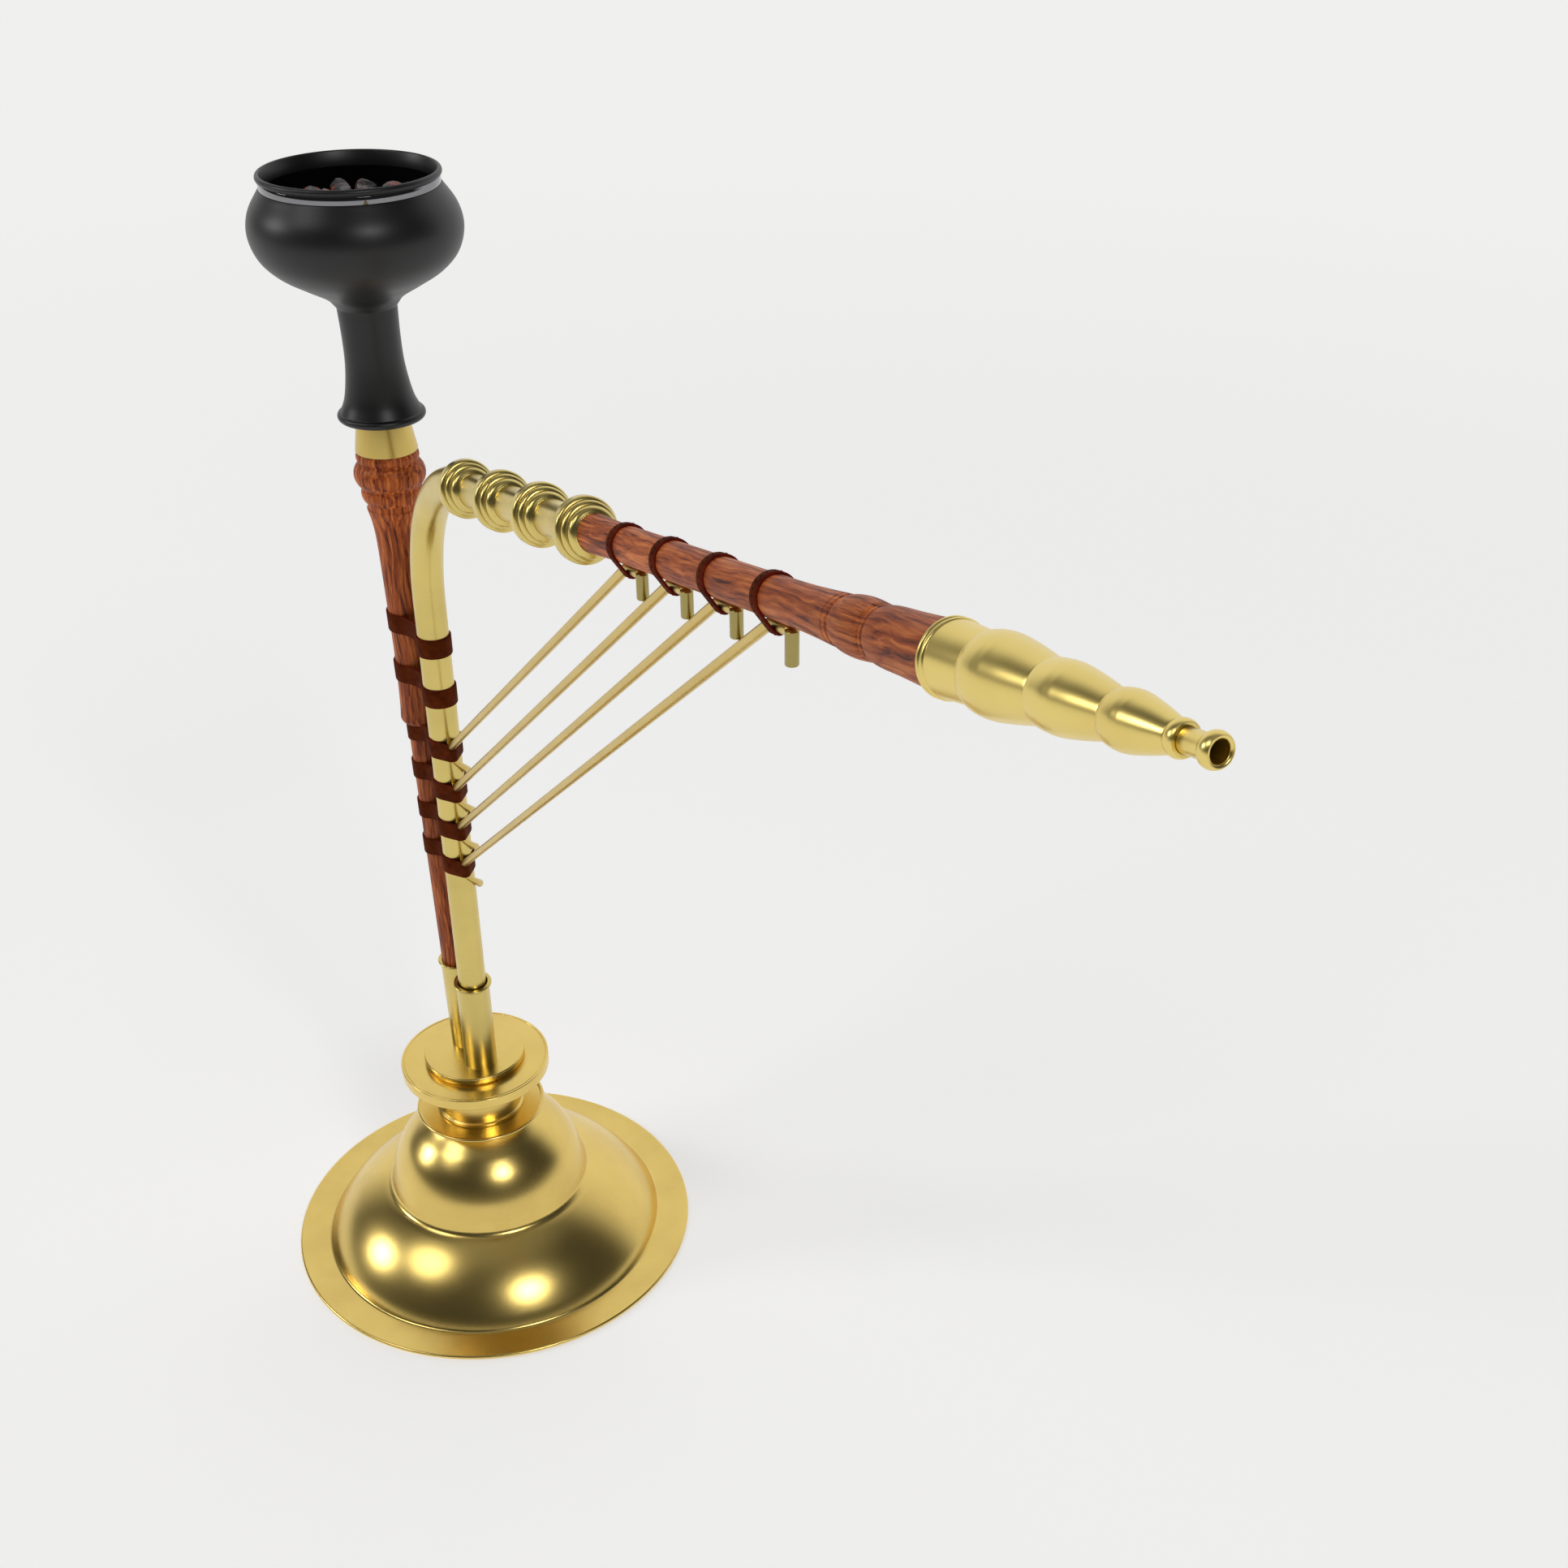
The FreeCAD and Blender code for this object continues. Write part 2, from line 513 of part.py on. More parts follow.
# ---- leather and rods -------------------------------------------------------------------------
def brace_rod(number):
    """Tucked under a strap below, up to the mouth pipe, along it under a loop, then a short tail."""
    strap_z, loop_at = STRAP_Z[2 + number], LOOP_AT[number]
    off = TUBE_R + ROD_R + 0.05
    low, high = strap_z - STRAP_H / 2 - 1.5, strap_z + STRAP_H / 2 - 2.5
    under = WOOD_R + ROD_R + 0.15
    tail_top, tail_l = mouth_point(loop_at + TAIL_AT, under), TAIL_L[number]
    points = [Vector(tube_x(low) + off + HOOK_OUT, 0, low - HOOK_DROP), Vector(tube_x(low) + off, 0, low),
              Vector(tube_x(high) + off, 0, high), mouth_point(loop_at - 4.5, under), tail_top,
              tail_top - Vector(0, 0, 6)]
    rod = bent_rod(points, ROD_R, ROD_BEND_R).fuse(Part.makeSphere(ROD_R, points[0]))
    tail = Part.makeCylinder(TAIL_R, tail_l - 3, tail_top - Vector(0, 0, tail_l))
    tail = tail.makeChamfer(0.4, tail.Edges[:1] + tail.Edges[2:])
    return rod.fuse(tail).removeSplitter()


def strap(number, held):
    """A leather band round the stem, the tube and, lower down, the foot of a rod."""
    z = STRAP_Z[number]
    low = z - STRAP_H / 2
    stem_r = SLEEVE_BORE_R if z < STEM_STEP_Z + 1 else (12.2 if z < 380 else 11.0)
    circles = [(STEM_X, stem_r), (tube_x(z), TUBE_R)]
    if number >= 2:
        circles.append((tube_x(z) + TUBE_R + ROD_R, ROD_R))
    return band(circles, STRAP_H, low).cut(held)


def pipe_loop(number, held):
    """A narrow stitched loop round the mouth pipe and the rod under it."""
    at = LOOP_AT[number]
    under = WOOD_R + ROD_R + 0.15
    loop = band([(0, WOOD_R), (under, ROD_R)], LOOP_W, at - LOOP_W / 2)
    return on_mouth(loop).cut(held)


# ---- output -----------------------------------------------------------------------------------
def build():
    nodes = {f.__name__: f() for f in (
        foot_ring, base_plate, lower_dome, upper_dome, neck_flange, neck_tube, top_flange, neck_seal,
        top_cap, pipe_sleeve, pipe_packing, stem_packing, dip_tube, lower_stem, upper_stem, bowl_seat,
        bowl_gasket, gooseneck, mouth_pipe, tip_collar, mouth_tip, chillum, rim_band, coal_screen, coals)}
    nodes["stem_sleeve"] = on_stem(sleeve(SLEEVE_BORE_R))
    nodes["mouthpiece_ferrule"] = ferrule()
    for i in range(RING_COUNT):
        nodes[f"pipe_ring_{i + 1}"] = ring(i)
        nodes[f"brace_rod_{i + 1}"] = brace_rod(i)
    for i, sizes in enumerate(BELLS):
        nodes[f"mouthpiece_bell_{i + 1}"] = bell(*sizes)
    rods = [nodes[f"brace_rod_{i + 1}"] for i in range(4)]
    posts = [nodes["lower_stem"], nodes["upper_stem"], nodes["gooseneck"]]
    for i in range(len(STRAP_Z)):
        nodes[f"strap_{i + 1}"] = strap(i, posts + rods)
    for i in range(len(LOOP_AT)):
        nodes[f"pipe_loop_{i + 1}"] = pipe_loop(i, [nodes["mouth_pipe"]] + rods)
    return nodes


if __name__ == "__main__":
    os.makedirs("parts", exist_ok=True)
    for name, shape in build().items():
        box = shape.BoundBox
        print(f"{name:20s} solids {len(shape.Solids)} valid {shape.isValid()} volume {shape.Volume:9.1f}"
              f" x {box.XMin:.1f}..{box.XMax:.1f} z {box.ZMin:.1f}..{box.ZMax:.1f}")
        shape.exportStep(f"parts/{name}.step")
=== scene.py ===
"""Looks of the traditional water pipe: fine turned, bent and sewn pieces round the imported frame."""

from math import acos, cos, pi, radians, sin, tan
from random import Random

import bmesh
import bpy
from mathutils import Matrix, Vector, noise


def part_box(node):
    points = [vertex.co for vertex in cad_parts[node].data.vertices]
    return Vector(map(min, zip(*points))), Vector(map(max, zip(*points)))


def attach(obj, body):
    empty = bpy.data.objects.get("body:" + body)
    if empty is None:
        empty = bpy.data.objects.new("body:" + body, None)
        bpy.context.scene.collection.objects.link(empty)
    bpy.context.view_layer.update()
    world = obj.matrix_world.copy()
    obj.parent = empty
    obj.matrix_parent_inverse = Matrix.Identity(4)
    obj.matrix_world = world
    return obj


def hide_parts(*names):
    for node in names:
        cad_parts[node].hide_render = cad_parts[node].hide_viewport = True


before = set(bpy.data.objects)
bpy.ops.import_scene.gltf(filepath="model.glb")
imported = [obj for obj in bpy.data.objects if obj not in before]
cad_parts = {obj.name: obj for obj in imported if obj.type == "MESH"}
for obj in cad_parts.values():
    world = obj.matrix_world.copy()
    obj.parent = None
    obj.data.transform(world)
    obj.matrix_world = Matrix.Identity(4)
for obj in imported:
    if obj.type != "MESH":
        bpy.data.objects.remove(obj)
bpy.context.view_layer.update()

# Lengths are in millimetres, in the frame of the CAD model, and MM turns them into metres. The floor,
# the lights and the camera are in metres. A name ending in Z is a height, in R a radius.
MM = 0.001
SOFT = 0.35               # usual rounding of a turned edge
SHARP_TURN = radians(25)  # a corner of an outline that turns by more than this is rounded
CURVE_STEPS, ARC_STEPS = 7, 8

# Steps round a turned or swept piece.
SEGMENTS = 144
WIDE_SEGMENTS = 216       # the base
BOWL_SEGMENTS = 192
SLIM_SEGMENTS = 96
TUBE_SEGMENTS = 72        # the bent tube and the mouth tip
INNER_SEGMENTS = 64       # pieces inside others
PIN_SEGMENTS, ROD_SEGMENTS = 32, 28

# Base: foot ring and plate, the lower dome up to its step, the upper dome and the neck.
FOOT_R, FOOT_T, PLATE_R, PLATE_T = 130.0, 2.5, 100.0, 2.0
SHEET = 1.6
DOME_R, STEP_R, STEP_Z = 109.6, 63.8, 43.5
NECK_R, NECK_BORE_R = 26.0, 24.5
NECK_FLANGE_R, NECK_FLANGE_Z = 40.5, 103.0
COLLAR_R, COLLAR_Z = 46.0, 132.0

# Cap, its spigot and seal, and the two sleeves on it.
CAP_R, CAP_Z, CAP_TOP_Z = 31.1, 139.1, 144.3
SPIGOT_R, SPIGOT_BORE_R, SPIGOT_Z = 22.0, 20.3, 110.0
RIB_COUNT, RIB_FIRST, RIB_PITCH, RIB_HALF, RIB_H = 10, 3.2, 2.4, 0.9, 0.5
SLEEVE_R, SLEEVE_BORE_R, SLEEVE_Z, SLEEVE_LIP_R = 9.9, 9.0, 208.0, 11.5
LEANING_SINK = 0.7        # the leaning sleeve starts this far in the cap, so no gap shows
PACKING_T = 1.4

# Stem: its axis, the dip tube, the joint between its two halves and the seat for the bowl.
STEM_X, STEM_BORE_R = -11.0, 4.0
DIP_R, DIP_Z, DIP_IN = 5.0, 18.0, 20.0
STEM_STEP_Z, STEM_TOP_Z = 371.0, 522.0
STEM_TENON_R, STEM_TENON_L = 6.0, 20.0
SEAT_R, SEAT_TOP_R, SEAT_TOP_Z = 15.8, 10.0, 556.0
SEAT_SHANK_R, SEAT_SHANK_L = 6.5, 17.0

# Bowl, its gasket and band, and the coals: (radius of a circle of lumps, count) for each layer.
GASKET_Z, GASKET_H, GASKET_T, GASKET_GAP = 541.0, 12.0, 1.6, 0.1
BOWL_FOOT_Z, BOWL_R, BOWL_WAIST_R = 538.0, 50.2, 14.1
BOWL_RIM_R, BOWL_MOUTH_R, BOWL_TOP_Z = 42.6, 38.8, 651.6
BAND_Z, BAND_H, BAND_GROOVE_R = 645.0, 3.4, 40.2
SCREEN_Z = 615.2
COAL_LAYERS = (((0, 1), (13.3, 6), (26.2, 12)), ((7.0, 3), (19.6, 10)), ((0, 1), (13.3, 6), (23.0, 10)))
COAL_FIRST_Z, COAL_LAYER_H = 4.9, 7.4      # above the screen
COAL_SIZE = ((6.2, 7.8), (5.6, 6.8), (5.0, 6.2))
COAL_CUTS, COAL_CUT_DEPTH, COAL_TILT = 9, (0.62, 0.86), 0.5

# Brass tube: straight up with a slight lean, then one bend into the mouth pipe's direction.
TUBE_R, TUBE_X, TUBE_LEAN = 8.25, 13.0, 3.3
TUBE_FOOT = 0.6
BEND_R, BEND_STEPS, STRAIGHT_STEPS = 94.0, 48, 24

# Mouth pipe: places are distances along its axis from MOUTH_START.
MOUTH_RISE = 12.7
MOUTH_START = Vector((112.6, 0, 543.3))
RING_R, RING_FIRST, RING_PITCH, RING_COUNT = 12.8, 4.0, 49.0, 4
NECKING_R, NECKING_START = 7.5, -6.3
WOOD_START, WOOD_END, WOOD_R = 162.0, 415.0, 6.8
MOUTH_BORE_R, TENON_BORE_R, TENON_L = 4.2, 5.2, 20.0
TENON_R, FERRULE_END = 8.6, 433.0
# Bells of the mouthpiece: start, end, radius going in, largest radius, radius going out.
BELLS = ((433.0, 461.0, 9.6, 11.2, 8.1), (461.0, 487.0, 8.1, 9.1, 6.0), (487.0, 508.0, 6.0, 7.35, 4.1))
TIP_COLLAR_END, TIP_START, TIP_END = 511.5, 494.0, 523.0
TIP_R, TIP_BORE_R, TIP_RIM_R = 3.1, 2.2, 4.4
SLIP = 0.05               # play between the mouthpiece's parts

# Leather: six straps round stem and tube, each lower at the stem by its drop, and four small loops.
LEATHER, STRAP_H, LOOP_W = 0.95, 10.4, 4.2
STRAP_Z = (433.0, 404.0, 373.0, 347.0, 322.0, 297.0)
STRAP_DROP = (1.8, 1.8, 7.3, 5.4, 6.0, 5.4)
FIRST_ROD_STRAP = 2
LOOP_AT = (194.0, 233.5, 273.0, 312.5)
UPPER_STEM_R = 11.0
BELT_GAP = 0.04           # between a band and the post it goes round
BELT_STEPS = 14           # steps in a radian round a post
CUT_MARKS = (0, 1, 1, 1, 1, 0, 0, 1, 1, 1, 1, 1)   # sides of a band's section that are cut edges
WAIST_LEAVE, WAIST_PULL, POST_STEPS, WAIST_STEPS = radians(48), 7.5, 24, 20
STITCH_PITCH = 2.0
STITCH = ((-0.55, 0, -0.05), (-0.3, 0.22, -0.05), (0.3, 0.22, -0.05), (0.55, 0, -0.05),
          (0.3, -0.22, -0.05), (-0.3, -0.22, -0.05), (-0.28, 0, 0.16), (0.28, 0, 0.16))
STITCH_FACES = ((0, 1, 6), (1, 2, 7, 6), (2, 3, 7), (3, 4, 7), (4, 5, 6, 7), (5, 0, 6), (0, 5, 4, 3, 2, 1))

# Rods: each foot winds down round the tube, and each tail hangs in a pin beyond its loop.
ROD_R, ROD_BEND_R = 2.0, 1.9
ROD_ON_TUBE, ROD_UNDER_WOOD = TUBE_R + ROD_R + 0.05, WOOD_R + ROD_R + 0.15
FOOT_DROP, FOOT_WRAP, FOOT_STEPS = 13.0, radians(68), 12
TAIL_R, TAIL_AT, TAIL_L = 2.3, 10.0, (9.6, 9.6, 9.6, 11.4)
TAIL_CORE_R = ROD_R - 0.3

# Studio, in metres and degrees: a light is (name, azimuth, height, size, power).
FLOOR_HALF, FLOOR_Z = 30.0, -0.0004
FLOOR_GLOW, FLOOR_FADE = 0.40, (0.7, 3.2)  # the floor's glow near the object, and where it fades to SEEN
SEEN = 0.87                                # brightness of the backdrop
LIGHT_TARGET, LIGHT_DISTANCE = Vector((0.0, 0.0, 0.06)), 14.0
LIGHTS = (("side_box", -117, 25, 3.7, 345), ("top_box", -90, 50, 5.4, 275),
          ("front_box", 2, 39, 3.9, 385))
BRIGHT_SIDE = radians(142)                 # where the white wall of the studio stands
WALL, DARK, CEILING = 0.90, 0.035, 0.26
WALL_EDGE, CEILING_EDGE = (0.26, 0.62), (0.8, 1.0)
CAMERA_AT, CAMERA_LOOK = (0.8755, -0.2346, 0.8408), Vector((-0.6990, 0.3631, -0.6162))
CAMERA_LENS, CAMERA_SENSOR, CAMERA_SHIFT = 41.01, 36.0, 0.1656

UPRIGHT = Matrix.Identity(4)
ON_STEM = Matrix.Translation((STEM_X, 0, 0))
ON_TUBE = (Matrix.Translation((TUBE_X, 0, CAP_TOP_Z)) @ Matrix.Rotation(radians(TUBE_LEAN), 4, "Y")
           @ Matrix.Translation((0, 0, -CAP_TOP_Z)))
ON_MOUTH = Matrix.Translation(MOUTH_START) @ Matrix.Rotation(radians(90 - MOUTH_RISE), 4, "Y")
MOUTH = Vector((cos(radians(MOUTH_RISE)), 0, sin(radians(MOUTH_RISE))))
MOUTH_DOWN = Vector((sin(radians(MOUTH_RISE)), 0, -cos(radians(MOUTH_RISE))))


# ---- materials ---------------------------------------------------------------------------------
class Nodes:
    """A small helper that adds and links shader nodes."""

    def __init__(self, name):
        self.material = bpy.data.materials.new(name)
        self.material.use_nodes = True
        self.tree = self.material.node_tree
        self.shader = self.tree.nodes["Principled BSDF"]

    def add(self, kind, inputs=None, **settings):
        """Add a node. An input is a value, or a socket to link from."""
        node = self.tree.nodes.new(kind)
        for key, value in settings.items():
            setattr(node, key, value)
        for key, value in (inputs or {}).items():
            if isinstance(value, bpy.types.NodeSocket):
                self.tree.links.new(value, node.inputs[key])
            else:
                node.inputs[key].default_value = value
        return node

    def set(self, **inputs):
        """Set or link the shader's inputs, and give the material."""
        for key, value in inputs.items():
            socket = self.shader.inputs[key.replace("_", " ")]
            if isinstance(value, bpy.types.NodeSocket):
                self.tree.links.new(value, socket)
            else:
                socket.default_value = value
        return self.material

    def place(self, scale=(1, 1, 1), turn=0.0):
        """Object coordinates, scaled, after turning about Y so that Z runs along a leaning piece."""
        coordinates = self.add("ShaderNodeTexCoord").outputs["Object"]
        turned_to = self.add("ShaderNodeMapping", {"Vector": coordinates, "Rotation": (0, -turn, 0)})
        scaled = self.add("ShaderNodeMapping", {"Vector": turned_to.outputs[0], "Scale": scale})
        return scaled.outputs[0]

    def noise(self, vector, scale, detail, rough):
        """A noise pattern from 0 to 1."""
        inputs = {"Vector": vector, "Scale": scale, "Detail": detail, "Roughness": rough}
        return self.add("ShaderNodeTexNoise", inputs).outputs[0]

    def ramp(self, value, stops):
        """Colours for a value, from stops of (place, colour)."""
        node = self.add("ShaderNodeValToRGB", {"Fac": value})
        while len(node.color_ramp.elements) < len(stops):
            node.color_ramp.elements.new(0.5)
        for element, (at, colour) in zip(node.color_ramp.elements, stops):
            element.position = at
            element.color = (*colour, 1)
        return node.outputs[0]

    def span(self, value, low, high):
        """Map 0..1 to low..high."""
        return self.add("ShaderNodeMapRange", {"Value": value, "To Min": low, "To Max": high}).outputs[0]

    def mix(self, fac, a, b, blend="MIX"):
        """Mix two colours."""
        inputs = {0: fac, 6: a, 7: b}
        return self.add("ShaderNodeMix", inputs, data_type="RGBA", blend_type=blend).outputs[2]

    def bump(self, height, strength, distance):
        """A normal from a height. The distance is in metres."""
        node = self.add("ShaderNodeBump", {"Height": height, "Strength": strength, "Distance": distance})
        return node.outputs[0]


def grey(value):
    """A grey of one value."""
    return (value, value, value)


def brass(name, colour, dull, rough):
    """Satin brass: a cloudy tarnish in colour and roughness and a very fine brushed surface."""
    n = Nodes(name)
    clouds = n.noise(n.place(), 26.0, 4.0, 0.55)
    fine = n.noise(n.place((1, 1, 6)), 420.0, 3.0, 0.6)
    return n.set(Base_Color=n.ramp(clouds, ((0.34, dull), (0.62, colour))), Metallic=1.0,
                 Roughness=n.span(clouds, rough + 0.04, rough - 0.03), Normal=n.bump(fine, 0.006, 0.0002))


def wood(name, turn):
    """Oiled reddish hardwood: wavy figure and dark streaks along the grain, and fine pores."""
    n = Nodes(name)
    wavy = {"Vector": n.place((1, 1, 0.5), turn), "Scale": 55.0, "Detail": 2.0}
    sway = n.add("ShaderNodeTexNoise", wavy).outputs["Color"]
    along = {0: sway, 1: (0.008, 0.008, 0.0), 2: n.place((1, 1, 0.045), turn)}
    grain = n.add("ShaderNodeVectorMath", along, operation="MULTIPLY_ADD").outputs[0]
    streaks = n.noise(grain, 620.0, 5.0, 0.62)
    tone = n.ramp(streaks, ((0.33, (0.075, 0.014, 0.005)), (0.42, (0.29, 0.054, 0.013)),
                            (0.53, (0.51, 0.115, 0.022)), (0.64, (0.72, 0.21, 0.045))))
    broad = n.ramp(n.noise(grain, 90.0, 3.0, 0.5), ((0.36, grey(0.66)), (0.60, grey(1.0))))
    pores = n.noise(n.place((1, 1, 0.03), turn), 1700.0, 2.0, 0.5)
    pore_tone = n.ramp(pores, ((0.34, grey(0.55)), (0.44, grey(1.0))))
    colour = n.mix(0.8, tone, broad, "MULTIPLY")
    colour = n.mix(0.5, colour, pore_tone, "MULTIPLY")
    return n.set(Base_Color=colour, Roughness=n.span(streaks, 0.55, 0.42), Specular_IOR_Level=0.2,
                 Normal=n.bump(pores, 0.14, 0.0002))


def leather(name, colour, dark, rough):
    """Waxed leather: a fine pebbled grain and darker worn patches."""
    n = Nodes(name)
    grain = n.add("ShaderNodeTexVoronoi", {"Vector": n.place(), "Scale": 1500.0}).outputs[0]
    wear = n.noise(n.place(), 190.0, 4.0, 0.6)
    return n.set(Base_Color=n.ramp(wear, ((0.35, dark), (0.68, colour))),
                 Roughness=n.span(wear, rough + 0.1, rough - 0.06),
                 Normal=n.bump(grain, 0.35, 0.0002), Specular_IOR_Level=0.03)


def clay():
    """Burnished black fired clay."""
    n = Nodes("burnished_clay")
    fine = n.noise(n.place(), 900.0, 3.0, 0.6)
    broad = n.noise(n.place((1, 1, 2.5)), 30.0, 3.0, 0.5)
    return n.set(Base_Color=n.ramp(broad, ((0.3, grey(0.0035)), (0.7, grey(0.005)))),
                 Roughness=n.span(broad, 0.44, 0.38), Normal=n.bump(fine, 0.02, 0.0002),
                 Specular_IOR_Level=0.5)


def polished_steel():
    """Dark polished steel with a faint brushed sheen."""
    n = Nodes("polished_steel")
    fine = n.noise(n.place((1, 1, 8)), 300.0, 2.0, 0.5)
    return n.set(Base_Color=(0.24, 0.24, 0.25, 1), Metallic=1.0, Roughness=n.span(fine, 0.05, 0.09))


def scaled_steel():
    """Steel that the fire has left rough and brown."""
    n = Nodes("heat_scaled_steel")
    scale = n.noise(n.place(), 160.0, 4.0, 0.6)
    return n.set(Base_Color=n.ramp(scale, ((0.3, (0.05, 0.035, 0.028)), (0.7, (0.13, 0.12, 0.115)))),
                 Metallic=0.9, Roughness=n.span(scale, 0.6, 0.4), Normal=n.bump(scale, 0.3, 0.0003))


def charcoal():
    """Charcoal with glassy broken faces, reddish burnt patches, a little ash and a few glowing cracks."""
    n = Nodes("charcoal")
    place = n.place()
    cells = {"Vector": place, "Scale": 330.0}
    cracks = n.add("ShaderNodeTexVoronoi", cells, feature="DISTANCE_TO_EDGE").outputs[0]
    patches = n.noise(place, 95.0, 3.0, 0.5)
    ash = n.noise(place, 520.0, 4.0, 0.65)
    body = n.ramp(ash, ((0.45, (0.010, 0.008, 0.008)), (0.66, (0.030, 0.020, 0.018)),
                        (0.8, (0.13, 0.11, 0.10))))
    burnt = n.ramp(patches, ((0.50, grey(0.0)), (0.60, grey(1.0))))
    colour = n.mix(burnt, body, (0.10, 0.016, 0.010, 1))
    in_crack = n.ramp(cracks, ((0.0, grey(1.0)), (0.09, grey(0.0))))
    ember = n.mix(1.0, n.mix(1.0, in_crack, burnt, "MULTIPLY"), (0.75, 0.07, 0.012, 1), "MULTIPLY")
    return n.set(Base_Color=colour, Roughness=n.span(ash, 0.10, 0.55), Emission_Color=ember,
                 Emission_Strength=0.35, Normal=n.bump(ash, 0.5, 0.0006), Specular_IOR_Level=0.8)


def rubber():
    """Matt black rubber."""
    n = Nodes("black_rubber")
    fine = n.noise(n.place(), 700.0, 3.0, 0.6)
    return n.set(Base_Color=n.ramp(fine, ((0.3, grey(0.018)), (0.7, grey(0.032)))), Roughness=0.62,
                 Normal=n.bump(fine, 0.15, 0.0002))


def wound_cotton():
    """Packing: waxed thread wound round and round."""
    n = Nodes("wound_cotton")
    wave = {"Vector": n.place(), "Scale": 260.0, "Distortion": 0.6, "Detail": 2.0}
    turns = n.add("ShaderNodeTexWave", wave, bands_direction="Z").outputs[1]
    return n.set(Base_Color=n.ramp(turns, ((0.0, (0.30, 0.24, 0.15)), (0.6, (0.62, 0.54, 0.38)))),
                 Roughness=0.75, Normal=n.bump(turns, 0.8, 0.0004))


def studio_floor():
    """White paint that glows a little near the object, and far away only glows, like the backdrop."""
    n = Nodes("studio_floor")
    distance = n.add("ShaderNodeVectorMath", {0: n.place()}, operation="LENGTH").outputs[1]
    near, far = FLOOR_FADE
    fade = n.add("ShaderNodeMapRange", {"Value": distance, "From Min": near, "From Max": far},
                 interpolation_type="SMOOTHSTEP").outputs[0]
    return n.set(Base_Color=n.mix(fade, (*grey(0.80), 1), (0, 0, 0, 1)), Roughness=0.8,
                 Specular_IOR_Level=0.0, Emission_Color=(1, 1, 0.99, 1),
                 Emission_Strength=n.span(fade, FLOOR_GLOW, SEEN))


BASE_BRASS = brass("base_brass", (0.82, 0.605, 0.185), (0.76, 0.55, 0.165), 0.26)
PIPE_BRASS = brass("pipe_brass", (0.71, 0.56, 0.180), (0.64, 0.50, 0.160), 0.27)
PIN_BRASS = brass("pin_brass", (0.38, 0.31, 0.11), (0.34, 0.28, 0.10), 0.27)
# rod_brass also dresses the bowl seat, where its darker tone is painted shade under the bowl.
ROD_BRASS = brass("rod_brass", (0.68, 0.50, 0.15), (0.62, 0.45, 0.13), 0.3)
MOUTH_BRASS = brass("mouth_brass", (0.84, 0.66, 0.215), (0.80, 0.62, 0.195), 0.29)
STEM_WOOD = wood("stem_wood", 0.0)
MOUTH_WOOD = wood("mouth_wood", radians(90 - MOUTH_RISE))
STRAP_LEATHER = leather("strap_leather", (0.125, 0.021, 0.002), (0.066, 0.010, 0.001), 0.6)
CUT_LEATHER = leather("cut_leather", (0.21, 0.018, 0.010), (0.11, 0.011, 0.008), 0.6)
THREAD = leather("dark_thread", (0.020, 0.010, 0.008), (0.012, 0.006, 0.005), 0.7)
CLAY = clay()
STEEL = polished_steel()
SCALED_STEEL = scaled_steel()
CHARCOAL = charcoal()
RUBBER = rubber()
COTTON = wound_cotton()


# ---- mesh helpers ------------------------------------------------------------------------------
def finish_piece(name, mesh, materials, body, nodes, sharp=40.0):
    """Name a mesh, give it its materials and its body, and let it stand for CAD nodes."""
    mesh.set_sharp_from_angle(angle=radians(sharp))
    piece = bpy.data.objects.new(name, mesh)
    bpy.context.scene.collection.objects.link(piece)
    for material in materials:
        mesh.materials.append(material)
    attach(piece, body)
    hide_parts(*nodes)


def new_mesh(name, vertices, faces, place, marks=None):
    """A smooth mesh from millimetre vertices in a local frame."""
    mesh = bpy.data.meshes.new(name)
    mesh.from_pydata([place @ Vector(v) * MM for v in vertices], [], faces)
    mesh.polygons.foreach_set("use_smooth", [True] * len(mesh.polygons))
    if marks:
        mesh.polygons.foreach_set("material_index", marks)
    mesh.validate()
    bm = bmesh.new()
    bm.from_mesh(mesh)
    bmesh.ops.recalc_face_normals(bm, faces=bm.faces)
    bm.to_mesh(mesh)
    bm.free()
    return mesh


def arc_points(a, b, c, count):
    """Points on the circle from a through b to c, without a."""
    ax, ay, bx, by, cx, cy = *a, *b, *c
    d = 2 * (ax * (by - cy) + bx * (cy - ay) + cx * (ay - by))
    ux = ((ax**2 + ay**2) * (by - cy) + (bx**2 + by**2) * (cy - ay) + (cx**2 + cy**2) * (ay - by)) / d
    uy = ((ax**2 + ay**2) * (cx - bx) + (bx**2 + by**2) * (ax - cx) + (cx**2 + cy**2) * (bx - ax)) / d
    centre = Vector((ux, uy))
    start, middle, end = (Vector(p) - centre for p in (a, b, c))
    turn = start.angle_signed(end)
    through = start.angle_signed(middle)
    if turn * through < 0 or abs(through) > abs(turn):
        turn -= 2 * pi * (1 if turn > 0 else -1)
    return [tuple(centre + Matrix.Rotation(-turn * i / count, 2) @ start) for i in range(1, count + 1)]


def curve_points(knots, count):
    """A smooth curve through knots, without the first one."""
    ends = [2 * Vector(knots[0]) - Vector(knots[1])] + [Vector(k) for k in knots]
    ends.append(2 * Vector(knots[-1]) - Vector(knots[-2]))
    out = []
    for p0, p1, p2, p3 in zip(ends, ends[1:], ends[2:], ends[3:]):
        span = (p2 - p1).length
        m1 = (p2 - p0) * span / max((p1 - p0).length + span, 1e-9)
        m2 = (p3 - p1) * span / max((p3 - p2).length + span, 1e-9)
        for i in range(1, count + 1):
            t = i / count
            h = (2 * t**3 - 3 * t**2 + 1, t**3 - 2 * t**2 + t, -2 * t**3 + 3 * t**2, t**3 - t**2)
            out.append(tuple(p1 * h[0] + m1 * h[1] + p2 * h[2] + m2 * h[3]))
    return out


